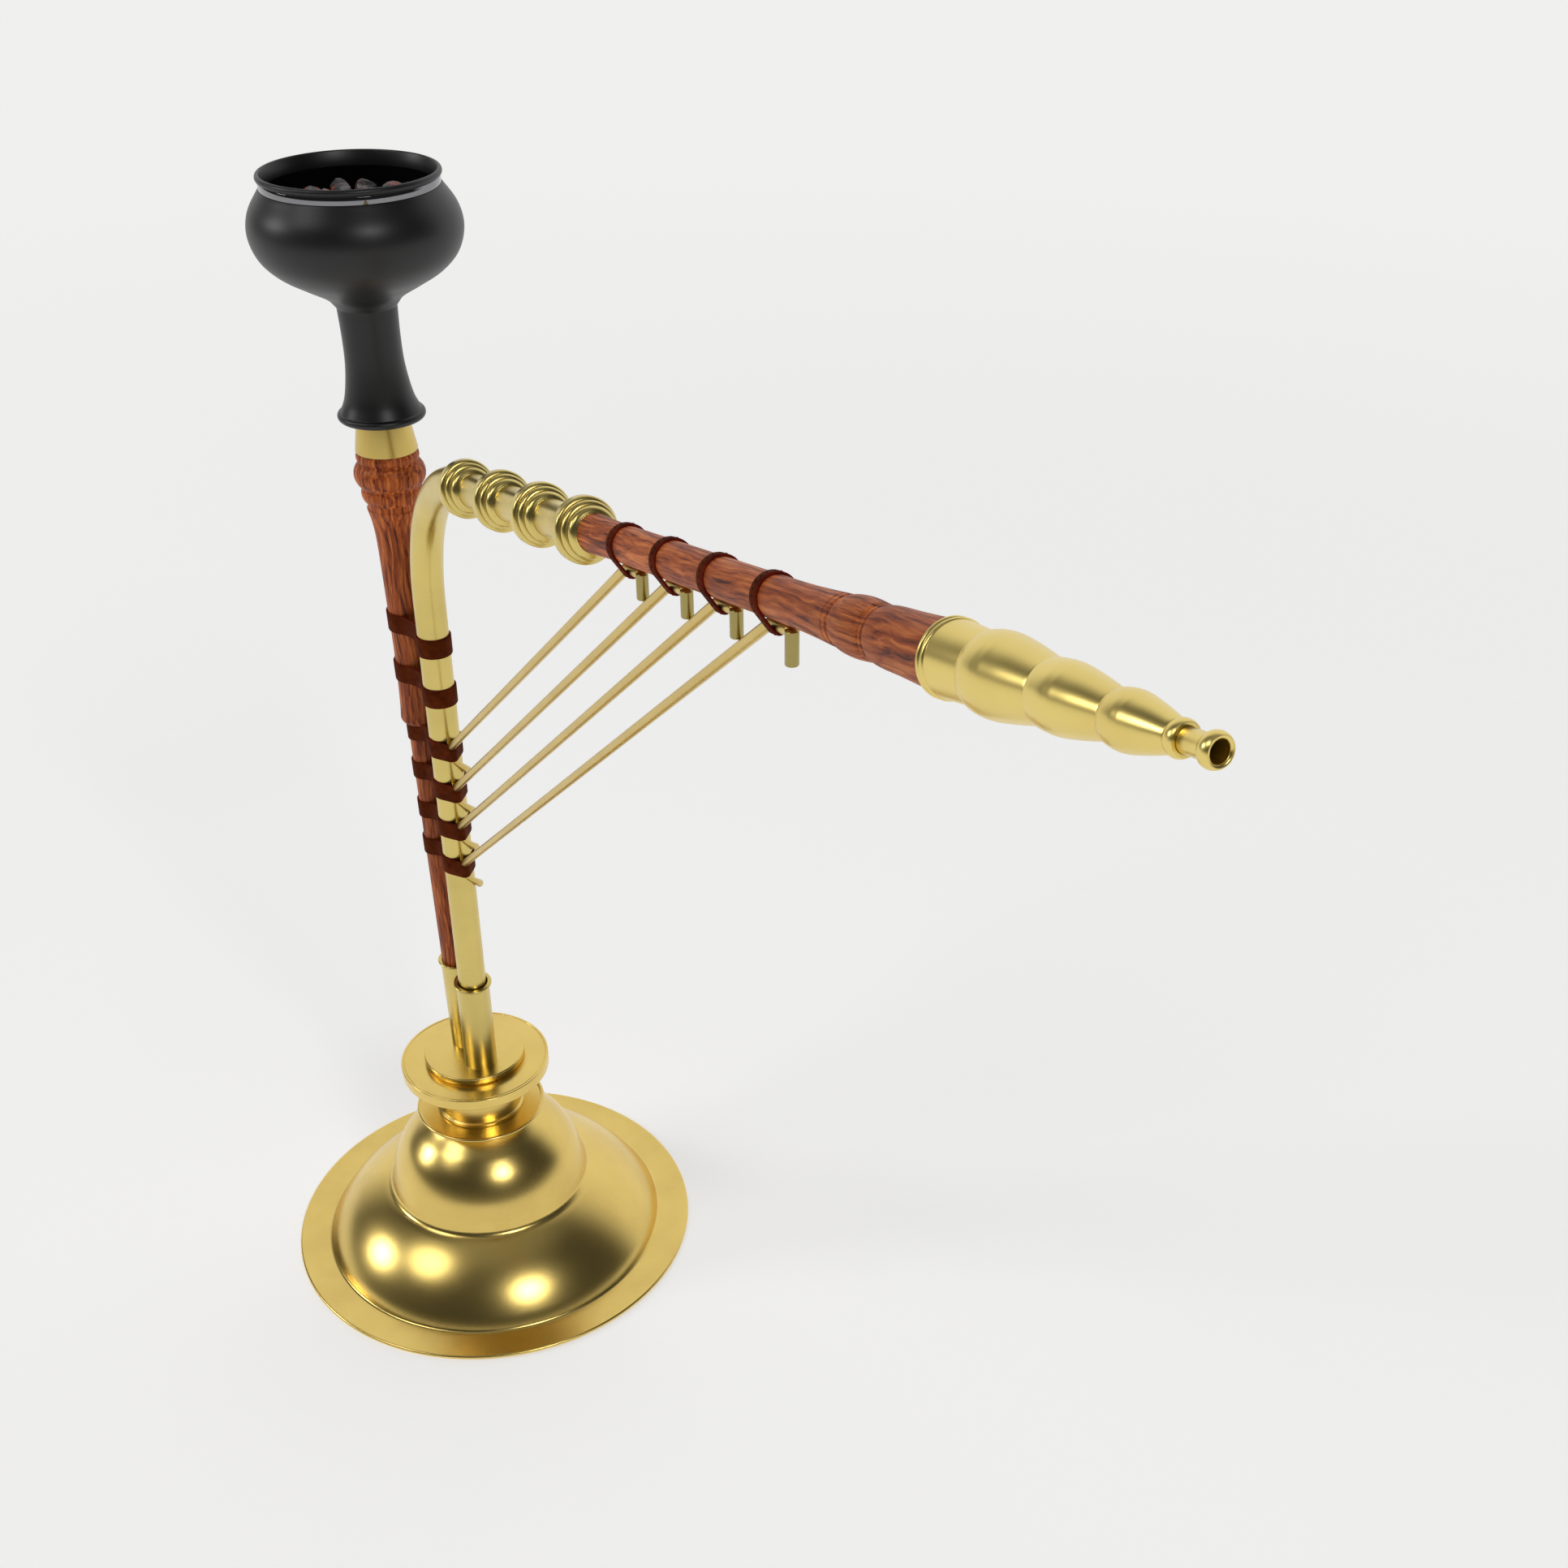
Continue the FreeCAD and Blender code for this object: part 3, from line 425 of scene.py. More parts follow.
def outline(start, *steps):
    """A closed outline of (radius, height): a point is a line, a pair an arc, a list a curve."""
    points = [start]
    for step in steps:
        if isinstance(step, list):
            points += curve_points([points[-1]] + step, CURVE_STEPS)
        elif isinstance(step[0], tuple):
            points += arc_points(points[-1], step[0], step[1], ARC_STEPS)
        else:
            points.append(step)
    return points


def soften(points, soft):
    """Round the sharp corners of a closed outline."""
    out = []
    for i, point in enumerate(points):
        here = Vector(point)
        back, ahead = Vector(points[i - 1]) - here, Vector(points[(i + 1) % len(points)]) - here
        if point[0] < 1e-6 or back.length < 1e-6 or ahead.length < 1e-6:
            out.append(point)
            continue
        turn = pi - back.angle(ahead)
        reach = min(soft * tan(turn / 2), 0.45 * back.length, 0.45 * ahead.length)
        if turn < SHARP_TURN or reach < 0.01:
            out.append(point)
            continue
        a, b = here + back.normalized() * reach, here + ahead.normalized() * reach
        for t in (0.0, 0.25, 0.5, 0.75, 1.0):
            out.append(tuple(a * (1 - t) ** 2 + here * 2 * t * (1 - t) + b * t**2))
    return out


def turned(name, points, place, material, body, slot, nodes, soft=SOFT, segments=SEGMENTS):
    """Turn a closed outline about the local Z axis into one closed mesh."""
    profile = soften(points, soft)
    vertices, faces, rows = [], [], []
    for r, z in profile:
        if r < 1e-6:
            rows.append([len(vertices)] * segments)
            vertices.append((0, 0, z))
            continue
        rows.append(range(len(vertices), len(vertices) + segments))
        for i in range(segments):
            angle = 2 * pi * i / segments
            vertices.append((r * cos(angle), r * sin(angle), z))
    for low, high in zip(rows, rows[1:] + rows[:1]):
        for i in range(segments):
            j = (i + 1) % segments
            face = []
            for v in (low[i], low[j], high[j], high[i]):
                if v not in face:
                    face.append(v)
            if len(face) > 2:
                faces.append(face)
    finish_piece(name, new_mesh(name, vertices, faces, place), [material], body, nodes)


def bent_path(points, bend_r, steps=8):
    """A line through points in the plane Y = 0 with its corners bent to one radius."""
    path = [points[0]]
    for before, corner, after in zip(points, points[1:], points[2:]):
        back, ahead = (before - corner).normalized(), (after - corner).normalized()
        half = back.angle(ahead) / 2
        reach = bend_r / tan(half)
        centre = corner + (back + ahead).normalized() * bend_r / sin(half)
        start, end = corner + back * reach - centre, corner + ahead * reach - centre
        for i in range(steps + 1):
            path.append(centre + start.normalized().slerp(end.normalized(), i / steps) * bend_r)
    return path + [points[-1]]


def ring_faces(rows, segments, closed):
    """Faces between rows of vertices, each row given by its first, and back to the first row if closed."""
    faces = []
    for low, high in zip(rows, rows[1:] + (rows[:1] if closed else [])):
        for i in range(segments):
            j = (i + 1) % segments
            faces.append((low + i, low + j, high + j, high + i))
    return faces


def swept(name, stations, material, nodes, segments, bore=None):
    """Sweep a circle along stations (point, radius), with a bore or closed ends, for a pipe or a rod."""
    side = Vector((0, 1, 0))
    passes = list(stations)
    points = [p for p, _ in stations]
    tangents = []
    for i in range(len(points)):
        ahead = points[min(i + 1, len(points) - 1)] - points[max(i - 1, 0)]
        tangents.append(ahead.normalized())
    if bore:
        passes += [(point, bore) for point in reversed(points)]
        tangents += tangents[::-1]
    vertices, rows = [], []
    for (point, radius), tangent in zip(passes, tangents):
        normal = side.cross(tangent).normalized()
        rows.append(len(vertices))
        for i in range(segments):
            angle = 2 * pi * i / segments
            vertices.append(point + (normal * cos(angle) + side * sin(angle)) * radius)
    faces = ring_faces(rows, segments, bool(bore))
    if not bore:
        faces += [tuple(range(segments)), tuple(range(rows[-1], rows[-1] + segments))]
    finish_piece(name, new_mesh(name, vertices, faces, UPRIGHT), [material], "head", nodes)


def round_end(point, inward, radius):
    """Stations of a round end that starts near its pole."""
    count, out = 6, []
    for i in range(count):
        angle = (pi / 2) * (i + 0.35) / count
        out.append((point + inward * radius * (1 - cos(angle)), radius * sin(angle)))
    return out


def on_circle(x, r, angle):
    """A point on a circle about (x, 0), and its outward normal."""
    return Vector((x + r * cos(angle), r * sin(angle), 0)), Vector((cos(angle), sin(angle), 0))


def mirrored(upper):
    """Close a line over the X axis with its mirror image under it."""
    return upper + [(Vector((p.x, -p.y, 0)), Vector((n.x, -n.y, 0))) for p, n in reversed(upper[1:-1])]


def belt_line(circles):
    """Points and outward normals round a row of circles (x, radius), pulled tight."""
    turns = [acos((r1 - r2) / (x2 - x1)) for (x1, r1), (x2, r2) in zip(circles, circles[1:])]
    spans = list(zip([pi] + turns, turns + [0.0]))
    upper = []
    for (x, r), (start, end) in zip(circles, spans):
        count = max(4, int(BELT_STEPS * abs(start - end)))
        upper += [on_circle(x, r, start + (end - start) * i / count) for i in range(count + 1)]
    return mirrored(upper)


def waisted_line(circles):
    """The same round two posts and perhaps a rod, with the band drawn in between the two posts."""
    leave = WAIST_LEAVE
    (x1, r1), (x2, r2) = circles[:2]
    line = [on_circle(x1, r1, pi + (leave - pi) * i / POST_STEPS) for i in range(POST_STEPS + 1)]
    a, b = line[-1][0], Vector((x2 - r2 * cos(leave), r2 * sin(leave), 0))
    a_out = a + Vector((sin(leave), -cos(leave), 0)) * WAIST_PULL
    b_in = b - Vector((sin(leave), cos(leave), 0)) * WAIST_PULL
    for i in range(1, WAIST_STEPS):
        t = i / WAIST_STEPS
        point = a * (1 - t) ** 3 + a_out * 3 * t * (1 - t) ** 2 + b_in * 3 * t * t * (1 - t) + b * t**3
        run = (a_out - a) * (1 - t) ** 2 + (b_in - a_out) * 2 * t * (1 - t) + (b - b_in) * t * t
        line.append((point, Vector((-run.y, run.x, 0)).normalized()))
    if circles[2:]:
        rest = belt_line([(x2, r2), *circles[2:]])
        line += [(p, n) for p, n in rest[:len(rest) // 2 + 1] if p.x > b.x]
    else:
        line += [on_circle(x2, r2, (pi - leave) * (1 - i / POST_STEPS)) for i in range(POST_STEPS + 1)]
    return mirrored(line)


def belt(name, circles, width, at, place, nodes, lean=0.0, drop=0.0, stitched=False, line_round=belt_line):
    """A leather band with rounded edges, cut edges of their own colour and, if asked, stitches."""
    line = line_round([(x, r + BELT_GAP) for x, r in circles])
    half, thick, edge, bevel = width / 2, LEATHER, 0.28, 0.08
    section = [(0, -half + edge), (0, half - edge), (bevel, half - bevel), (edge, half),
               (thick - edge, half), (thick - bevel, half - bevel), (thick, half - edge),
               (thick, -half + edge), (thick - bevel, -half + bevel), (thick - edge, -half),
               (edge, -half), (bevel, -half + bevel)]
    vertices, rows = [], []
    first_x, last_x = circles[0][0], circles[1][0]
    for point, normal in line:
        rows.append(len(vertices))
        share = min(max((point.x - first_x) / (last_x - first_x), 0), 1)
        for out, up in section:
            height = at + up - drop * (1 - share)
            vertices.append(point + normal * out + Vector((lean * up * share, 0, height)))
    faces = ring_faces(rows, len(section), True)
    marks = [CUT_MARKS[i] for _ in rows for i in range(len(section))]
    if stitched:
        add_stitches(vertices, faces, marks, line, at)
    mesh = new_mesh(name, vertices, faces, place, marks)
    finish_piece(name, mesh, [STRAP_LEATHER, CUT_LEATHER, THREAD], "head", nodes, sharp=50)


def add_stitches(vertices, faces, marks, line, at):
    """Small thread stitches along the middle of a band's outside."""
    walked, due = 0.0, STITCH_PITCH / 2
    for (p, n), (q, _) in zip(line, line[1:] + line[:1]):
        step = (q - p).length
        while step > 1e-6 and due <= walked + step:
            share = (due - walked) / step
            along = (q - p).normalized()
            middle = p.lerp(q, share) + n * (LEATHER + 0.01) + Vector((0, 0, at))
            start = len(vertices)
            for ahead, up, out in STITCH:
                vertices.append(middle + along * ahead + Vector((0, 0, up)) + n * out)
            for face in STITCH_FACES:
                faces.append(tuple(start + v for v in face))
                marks.append(2)
            due += STITCH_PITCH
        walked += step


# ---- base --------------------------------------------------------------------------------------
def make_base():
    """Foot ring, plate, the two spun domes, and the neck with its two flanges."""
    brass_on = (UPRIGHT, BASE_BRASS, "base", "base_brass")
    turned("foot_ring_spun", outline(
        (PLATE_R, 0), (FOOT_R - 1.0, 0), ((FOOT_R - 0.1, 0.5), (FOOT_R, 1.4)),
        ((FOOT_R - 0.5, 2.3), (FOOT_R - 1.5, FOOT_T)), (DOME_R + 2, FOOT_T), (PLATE_R, FOOT_T)),
        *brass_on, ["foot_ring"], segments=WIDE_SEGMENTS)
    turned("base_plate_spun", outline((0, 0), (PLATE_R, 0), (PLATE_R, PLATE_T), (0, PLATE_T)),
           *brass_on, ["base_plate"])
    inner_r, inner_z = DOME_R - SHEET, STEP_Z - SHEET
    turned("lower_dome_spun", outline(
        (DOME_R + 1.6, FOOT_T), ((DOME_R - 0.1, FOOT_T + 0.5), (DOME_R - 1.0, FOOT_T + 2.0)),
        ((90.4, 27.1), (STEP_R, STEP_Z)), (STEP_R - 6, STEP_Z), (STEP_R - 6, inner_z),
        (STEP_R, inner_z), ((89.3, 25.9), (inner_r, FOOT_T))),
        *brass_on, ["lower_dome"], segments=WIDE_SEGMENTS)
    top = NECK_FLANGE_Z - 2.3
    turned("upper_dome_spun", outline(
        (STEP_R + 3.0, STEP_Z - 1.25), ((STEP_R + 0.75, STEP_Z + 0.45), (STEP_R - 0.35, STEP_Z + 3.0)),
        [(62.0, 53.0), (58.2, 65.5), (52.0, 77.0), (43.5, 86.5), (34.5, 93.5), (NECK_R + 1, top)],
        (NECK_BORE_R, top), (NECK_BORE_R, top - SHEET),
        [(33.5, 92.2), (42.4, 85.3), (50.7, 76.0), (56.7, 64.9), (60.4, 52.6), (STEP_R - SHEET, STEP_Z)]),
        *brass_on, ["upper_dome"], segments=WIDE_SEGMENTS)
    edge = NECK_FLANGE_R
    turned("neck_flange_spun", outline(
        (NECK_BORE_R, top), (edge - 1.2, top), ((edge, top + 1.15), (edge - 1.2, top + 2.3)),
        ((edge - 2.0, top + 1.9), (edge - 2.6, top + 1.4)), (NECK_BORE_R, top + 1.4)),
        *brass_on, ["neck_flange"])
    low = NECK_FLANGE_Z - 0.9
    turned("neck_tube_spun", outline(
        (NECK_BORE_R, low), (NECK_R + 1.5, low), (NECK_R + 1.5, low + 1.6), (NECK_R, low + 2.6),
        (NECK_R, COLLAR_Z), (NECK_BORE_R, COLLAR_Z)), *brass_on, ["neck_tube"])
    edge, soft = COLLAR_R, 0.5
    turned("top_flange_spun", outline(
        (NECK_BORE_R, COLLAR_Z), (edge - soft, COLLAR_Z),
        ((edge - 0.15, COLLAR_Z + 0.15), (edge, COLLAR_Z + soft)), (edge, CAP_Z - soft),
        ((edge - 0.15, CAP_Z - 0.15), (edge - soft, CAP_Z)), (edge - 1.4, CAP_Z),
        ((edge - 1.7, CAP_Z - 0.25), (edge - 2.0, CAP_Z)), (NECK_BORE_R, CAP_Z)),
        *brass_on, ["top_flange"])


# ---- head --------------------------------------------------------------------------------------
def make_cap():
    """The cap and its ribbed seal, the two sleeves with their packings, and the dip tube."""
    soft, in_neck = 1.0, NECK_BORE_R - 0.6
    turned("top_cap_disc", outline(
        (0, CAP_Z), (SPIGOT_BORE_R, CAP_Z), (SPIGOT_BORE_R, SPIGOT_Z), (in_neck, SPIGOT_Z),
        (in_neck, SPIGOT_Z + 2), (SPIGOT_R, SPIGOT_Z + 2), (SPIGOT_R, CAP_Z), (CAP_R - soft, CAP_Z),
        (CAP_R, CAP_Z + soft), (CAP_R, CAP_TOP_Z - soft),
        ((CAP_R - 0.3, CAP_TOP_Z - 0.3), (CAP_R - soft, CAP_TOP_Z)), (0, CAP_TOP_Z)),
        UPRIGHT, BASE_BRASS, "head", "base_brass", ["top_cap"])
    rib_r, ribs = NECK_BORE_R - 0.06, []
    for i in range(RIB_COUNT):
        z = SPIGOT_Z + RIB_FIRST + RIB_PITCH * i
        ribs += [(rib_r - RIB_H, z - RIB_HALF), ((rib_r, z), (rib_r - RIB_H, z + RIB_HALF))]
    low, high, inner = SPIGOT_Z + 2.5, CAP_Z - 0.5, SPIGOT_R + 0.06
    turned("neck_seal_ribbed", outline(
        (inner, low), (NECK_BORE_R - 0.7, low), *ribs[1:], (in_neck, high), (inner, high)),
        UPRIGHT, RUBBER, "seal", "seal", ["neck_seal"], soft=0.2)
    bore, lip, lip_z = SLEEVE_BORE_R, SLEEVE_LIP_R, SLEEVE_Z - 1.6
    for name, place, low in (("stem_sleeve", ON_STEM, CAP_TOP_Z),
                             ("pipe_sleeve", ON_TUBE, CAP_TOP_Z - LEANING_SINK)):
        turned(name + "_drawn", outline(
            (bore, low), (SLEEVE_R, low), (SLEEVE_R, lip_z), (lip - 0.5, lip_z),
            ((lip, lip_z + 0.8), (lip - 0.5, SLEEVE_Z)), (bore, SLEEVE_Z)),
            place, PIPE_BRASS, "head", "pipe_brass", [name], segments=SLIM_SEGMENTS)
    for name, place, inner, low, high in (
            ("stem_packing", ON_STEM, bore - PACKING_T, CAP_TOP_Z + 5, SLEEVE_Z - 8),
            ("pipe_packing", ON_TUBE, TUBE_R, CAP_TOP_Z + 6, SLEEVE_Z - 12)):
        turned(name + "_wound", outline((inner, low), (bore, low), (bore, high), (inner, high)),
               place, COTTON, "head", "packing", [name], segments=INNER_SEGMENTS)
    top = CAP_TOP_Z + DIP_IN
    turned("dip_tube_drawn", outline(
        (STEM_BORE_R, DIP_Z), (DIP_R, DIP_Z), (DIP_R, top), (STEM_BORE_R, top)),
        ON_STEM, PIPE_BRASS, "head", "pipe_brass", ["dip_tube"], segments=INNER_SEGMENTS)


def make_stem():
    """The two halves of the wooden stem, joined by a tenon, and the brass seat for the bowl."""
    low, body = CAP_TOP_Z + 1.5, SLEEVE_Z - 5
    bore, wound_r, tenon_r = STEM_BORE_R, SLEEVE_BORE_R - PACKING_T, STEM_TENON_R
    joint, tenon_z = STEM_STEP_Z, STEM_STEP_Z + STEM_TENON_L
    turned("lower_stem_wood", outline(
        (DIP_R, low), (wound_r, low), (wound_r, body), (SLEEVE_BORE_R, body), (SLEEVE_BORE_R, joint),
        (tenon_r, joint), (tenon_r, tenon_z), (bore, tenon_z),
        (bore, CAP_TOP_Z + DIP_IN), (DIP_R, CAP_TOP_Z + DIP_IN)),
        ON_STEM, STEM_WOOD, "head", "wood", ["lower_stem"], segments=SLIM_SEGMENTS)
    top, shank_r, shank_z = STEM_TOP_Z, SEAT_SHANK_R, STEM_TOP_Z - SEAT_SHANK_L
    turned("upper_stem_wood", outline(
        (tenon_r, joint), (SLEEVE_BORE_R + 1.2, joint), ((11.9, joint + 1.2), (12.2, joint + 3.2)),
        [(11.6, 383), (10.85, 410), (11.1, 443), (11.5, 474), (12.4, 485), (14.0, 492.5)],
        (13.4, 493.2), (13.5, 495.6), ((15.6, 499.0), (14.9, 503.4)), (15.3, 504.0),
        ((18.2, 510.0), (15.4, 516.0)), (14.9, 516.4), ((15.9, 519.2), (14.8, top)),
        (shank_r, top), (shank_r, shank_z), (bore, shank_z), (bore, tenon_z), (tenon_r, tenon_z)),
        ON_STEM, STEM_WOOD, "head", "wood", ["upper_stem"], soft=0.25)
    # The seat takes the darker rod brass: its darker tone is painted shade under the bowl's foot.
    turned("bowl_seat_turned", outline(
        (bore, shank_z), (shank_r, shank_z), (shank_r, top), (SEAT_R, top), (SEAT_TOP_R, SEAT_TOP_Z),
        (bore, SEAT_TOP_Z)),
        ON_STEM, ROD_BRASS, "head", "pipe_brass", ["bowl_seat"], segments=SLIM_SEGMENTS)


def tube_x(z):
    """Where the brass tube's axis is at a height."""
    return TUBE_X + (z - CAP_TOP_Z) * tan(radians(TUBE_LEAN))


def mouth_point(distance, below=0.0):
    """A point on the mouth pipe's axis, or that far under it."""
    return MOUTH_START + MOUTH * distance + MOUTH_DOWN * below


def make_gooseneck():
    """The brass tube from the cap up and over into the mouth pipe, necked down where the rings sit."""
    lean, rise = tan(radians(TUBE_LEAN)), tan(radians(MOUTH_RISE))
    corner_z = (MOUTH_START.z + (TUBE_X - MOUTH_START.x - CAP_TOP_Z * lean) * rise) / (1 - lean * rise)
    corner = Vector((tube_x(corner_z), 0, corner_z))
    foot_z = CAP_TOP_Z + TUBE_FOOT
    foot = Vector((tube_x(foot_z), 0, foot_z))
    bend = bent_path([foot, corner, mouth_point(NECKING_START - 1)], BEND_R, BEND_STEPS)
    stations = [(foot.lerp(bend[1], i / STRAIGHT_STEPS), TUBE_R) for i in range(STRAIGHT_STEPS)]
    stations += [(point, TUBE_R) for point in bend[1:-1]]
    stations += [(mouth_point(at), radius) for at, radius in (
        (NECKING_START - 0.35, TUBE_R), (NECKING_START, TUBE_R - 0.35), (NECKING_START + 0.02, NECKING_R),
        (WOOD_START, NECKING_R), (WOOD_START + 0.02, TENON_BORE_R), (WOOD_START + TENON_L, TENON_BORE_R))]
    swept("gooseneck_bent", stations, PIPE_BRASS, ["gooseneck"], TUBE_SEGMENTS, MOUTH_BORE_R)


def make_rings():
    """The turned rings on the necked part of the tube, each the same to both sides of its middle."""
    front = [(7.9, 10.9), ((9.5, 9.7), (9.9, 7.9)), (9.15, 7.6), (9.3, 6.8), ((11.1, 6.2), (11.3, 4.1)),
             (10.5, 3.8), (10.7, 3.0), ((12.4, 2.6), (12.75, 1.0))]
    back = [(12.75, -1.0), ((12.4, -2.6), (10.7, -3.0)), (10.5, -3.8), (11.3, -4.1),
            ((11.1, -6.2), (9.3, -6.8)), (9.15, -7.6), (9.9, -7.9), ((9.5, -9.7), (7.9, -10.9))]
    shape = outline((NECKING_R, 11.2), *front, ((RING_R, 0), back[0]), *back[1:], (NECKING_R, -11.2))
    for i in range(RING_COUNT):
        place = ON_MOUTH @ Matrix.Translation((0, 0, RING_FIRST + i * RING_PITCH))
        turned(f"pipe_ring_{i + 1}_turned", shape, place, PIPE_BRASS, "head", "pipe_brass",
               [f"pipe_ring_{i + 1}"], soft=0.12)


def make_mouth_pipe():
    """The turned wooden pipe between the brass tube and the mouthpiece."""
    low, high, inner_z = WOOD_START, WOOD_END, FERRULE_END - 2
    turned("mouth_pipe_wood", outline(
        (TENON_BORE_R, low), (WOOD_R + 0.6, low), [(WOOD_R + 0.35, low + 10), (WOOD_R, low + 23)],
        (WOOD_R, 322.0), [(6.95, 336), (7.35, 348), (7.75, 356.6)], (7.45, 357.1), (7.75, 357.6),
        (7.85, 359.6), (7.45, 360.1), [(8.4, 363.5), (8.8, 370.5), (8.4, 377)], (8.05, 378.6),
        (7.75, 379.0), (8.1, 379.5), (8.1, 380.6), (7.7, 381.1),
        [(8.35, 382.6), (8.75, 387), (9.0, 397), (9.8, high)],
        (TENON_R, high), (TENON_R, inner_z), (MOUTH_BORE_R, inner_z),
        (MOUTH_BORE_R, low + TENON_L), (TENON_BORE_R, low + TENON_L)),
        ON_MOUTH, MOUTH_WOOD, "head", "wood", ["mouth_pipe"], soft=0.12)


def make_leather():
    """Straps that tie stem, tube and rods together, and loops that hang the rods from the mouth pipe."""
    for i, (z, drop) in enumerate(zip(STRAP_Z, STRAP_DROP)):
        stem_r = SLEEVE_BORE_R if z - drop < STEM_STEP_Z else UPPER_STEM_R
        circles = [(STEM_X, stem_r), (tube_x(z), TUBE_R)]
        if i >= FIRST_ROD_STRAP:
            circles.append((tube_x(z) + ROD_ON_TUBE, ROD_R))
        belt(f"strap_{i + 1}_leather", circles, STRAP_H, z, UPRIGHT, [f"strap_{i + 1}"],
             lean=tan(radians(TUBE_LEAN)), drop=drop, line_round=waisted_line)
    for i, at in enumerate(LOOP_AT):
        belt(f"pipe_loop_{i + 1}_leather", [(0, WOOD_R), (ROD_UNDER_WOOD, ROD_R)], LOOP_W, at, ON_MOUTH,
             [f"pipe_loop_{i + 1}"], stitched=True)


def rod_foot(low):
    """The lower end of a rod: wound part of a turn down round the tube."""
    points = []
    for i in range(FOOT_STEPS + 1):
        share = 1 - i / FOOT_STEPS
        z, angle = low - FOOT_DROP * share, FOOT_WRAP * share**1.3
        points.append(Vector((tube_x(z) + ROD_ON_TUBE * cos(angle), ROD_ON_TUBE * sin(angle), z)))
    return points


def make_rods():
    """Brace rods from the straps to the loops: a ball at the foot and a pin hanging at the far end."""
    for i, loop_at in enumerate(LOOP_AT):
        strap_z = STRAP_Z[FIRST_ROD_STRAP + i]
        low, high = strap_z - STRAP_H / 2 + 1.0, strap_z + STRAP_H / 2 - 2.5
        tail_top = mouth_point(loop_at + TAIL_AT, ROD_UNDER_WOOD)
        foot = rod_foot(low)
        points = [foot[-1], Vector((tube_x(high) + ROD_ON_TUBE, 0, high)),
                  mouth_point(loop_at - 4.5, ROD_UNDER_WOOD), tail_top, tail_top - Vector((0, 0, 6))]
        path = foot[:-1] + bent_path(points, ROD_BEND_R)[:-1]
        tip = (path[0] - path[1]).normalized()
        stations = round_end(path[0] + tip * TAIL_R, -tip, TAIL_R) + [(p, ROD_R) for p in path]
        tail, end = path[-1], tail_top.z - TAIL_L[i]
        stations += [(Vector((tail.x, 0, z)), TAIL_CORE_R) for z in (tail.z - 0.1, end + 1.0)]
        swept(f"brace_rod_{i + 1}_bent", stations, ROD_BRASS, [f"brace_rod_{i + 1}"], ROD_SEGMENTS)
        crown = tail_top.z + 0.9
        pin = [(Vector((tail.x, 0, z)), r) for z, r in (
            (crown, 0.6), (crown - 0.25, TAIL_R - 0.5), (crown - 0.8, TAIL_R), (end + 0.45, TAIL_R),
            (end + 0.15, TAIL_R - 0.15), (end, TAIL_R - 0.5))]
        swept(f"brace_rod_{i + 1}_pin", pin, PIN_BRASS, [f"brace_rod_{i + 1}"], PIN_SEGMENTS)


# ---- mouthpiece --------------------------------------------------------------------------------
def make_mouthpiece():
    """The ferrule and the three bells that pull off together, and the tip that comes out of them."""
    on = (ON_MOUTH, MOUTH_BRASS, "mouthpiece", "mouth_brass")
    low, high = WOOD_END, FERRULE_END
    inner = TENON_R + SLIP
    turned("mouthpiece_ferrule_spun", outline(
        (inner, low), (10.5, low), ((10.95, low + 0.7), (10.5, low + 1.4)), (10.3, low + 1.7),
        ((10.9, low + 2.6), (10.4, low + 3.5)), (9.6, high), (inner - 0.6, high), (inner - 0.6, high - 1.6),
        (inner, high - 1.6)), *on, ["mouthpiece_ferrule"], soft=0.12)
    wall = 1.0
    for i, (low, high, r_in, r_max, r_out) in enumerate(BELLS):
        length = high - low
        slim = max(r_out - wall, TIP_R + SLIP)
        turned(f"mouthpiece_bell_{i + 1}_spun", outline(
            (r_in - wall, low), (r_in + 0.55, low),
            [(r_in + 0.80 * (r_max - r_in), low + 0.09 * length), (r_max, low + 0.25 * length),
             (0.93 * r_max + 0.07 * r_out, low + 0.38 * length)],
            [(0.60 * r_max + 0.40 * r_out, low + 0.63 * length), (r_out, high)],
            (slim, high), (slim, high - 0.12 * length), (r_max - 1.6 * wall, low + 0.36 * length),
            (r_in - wall, low + 0.1 * length)), *on, [f"mouthpiece_bell_{i + 1}"], soft=0.15)
    low, high = BELLS[-1][1], TIP_COLLAR_END
    inner = TIP_R + SLIP
    turned("tip_collar_turned", outline(
        (inner, low), (4.1, low), ((4.6, (low + high) / 2), (4.1, high)), (inner, high)),
        *on, ["tip_collar"], soft=0.1, segments=TUBE_SEGMENTS)
    lip = TIP_END - 3.6
    turned("mouth_tip_turned", outline(
        (TIP_BORE_R, TIP_START), (TIP_R, TIP_START), (TIP_R, lip - 1.2), ((3.5, lip - 0.4), (4.0, lip)),
        ((TIP_RIM_R, lip + 1.6), (3.7, TIP_END)), ((3.0, TIP_END - 0.2), (2.75, TIP_END - 1.2)),
        (TIP_BORE_R, TIP_END - 4)),
        ON_MOUTH, MOUTH_BRASS, "tip", "mouth_brass", ["mouth_tip"], soft=0.1, segments=TUBE_SEGMENTS)


# ---- bowl and fire -----------------------------------------------------------------------------
def seat_r(z):
    """Radius of the bowl seat's cone at a height."""
    return SEAT_R + (SEAT_TOP_R - SEAT_R) * (z - STEM_TOP_Z) / (SEAT_TOP_Z - STEM_TOP_Z)


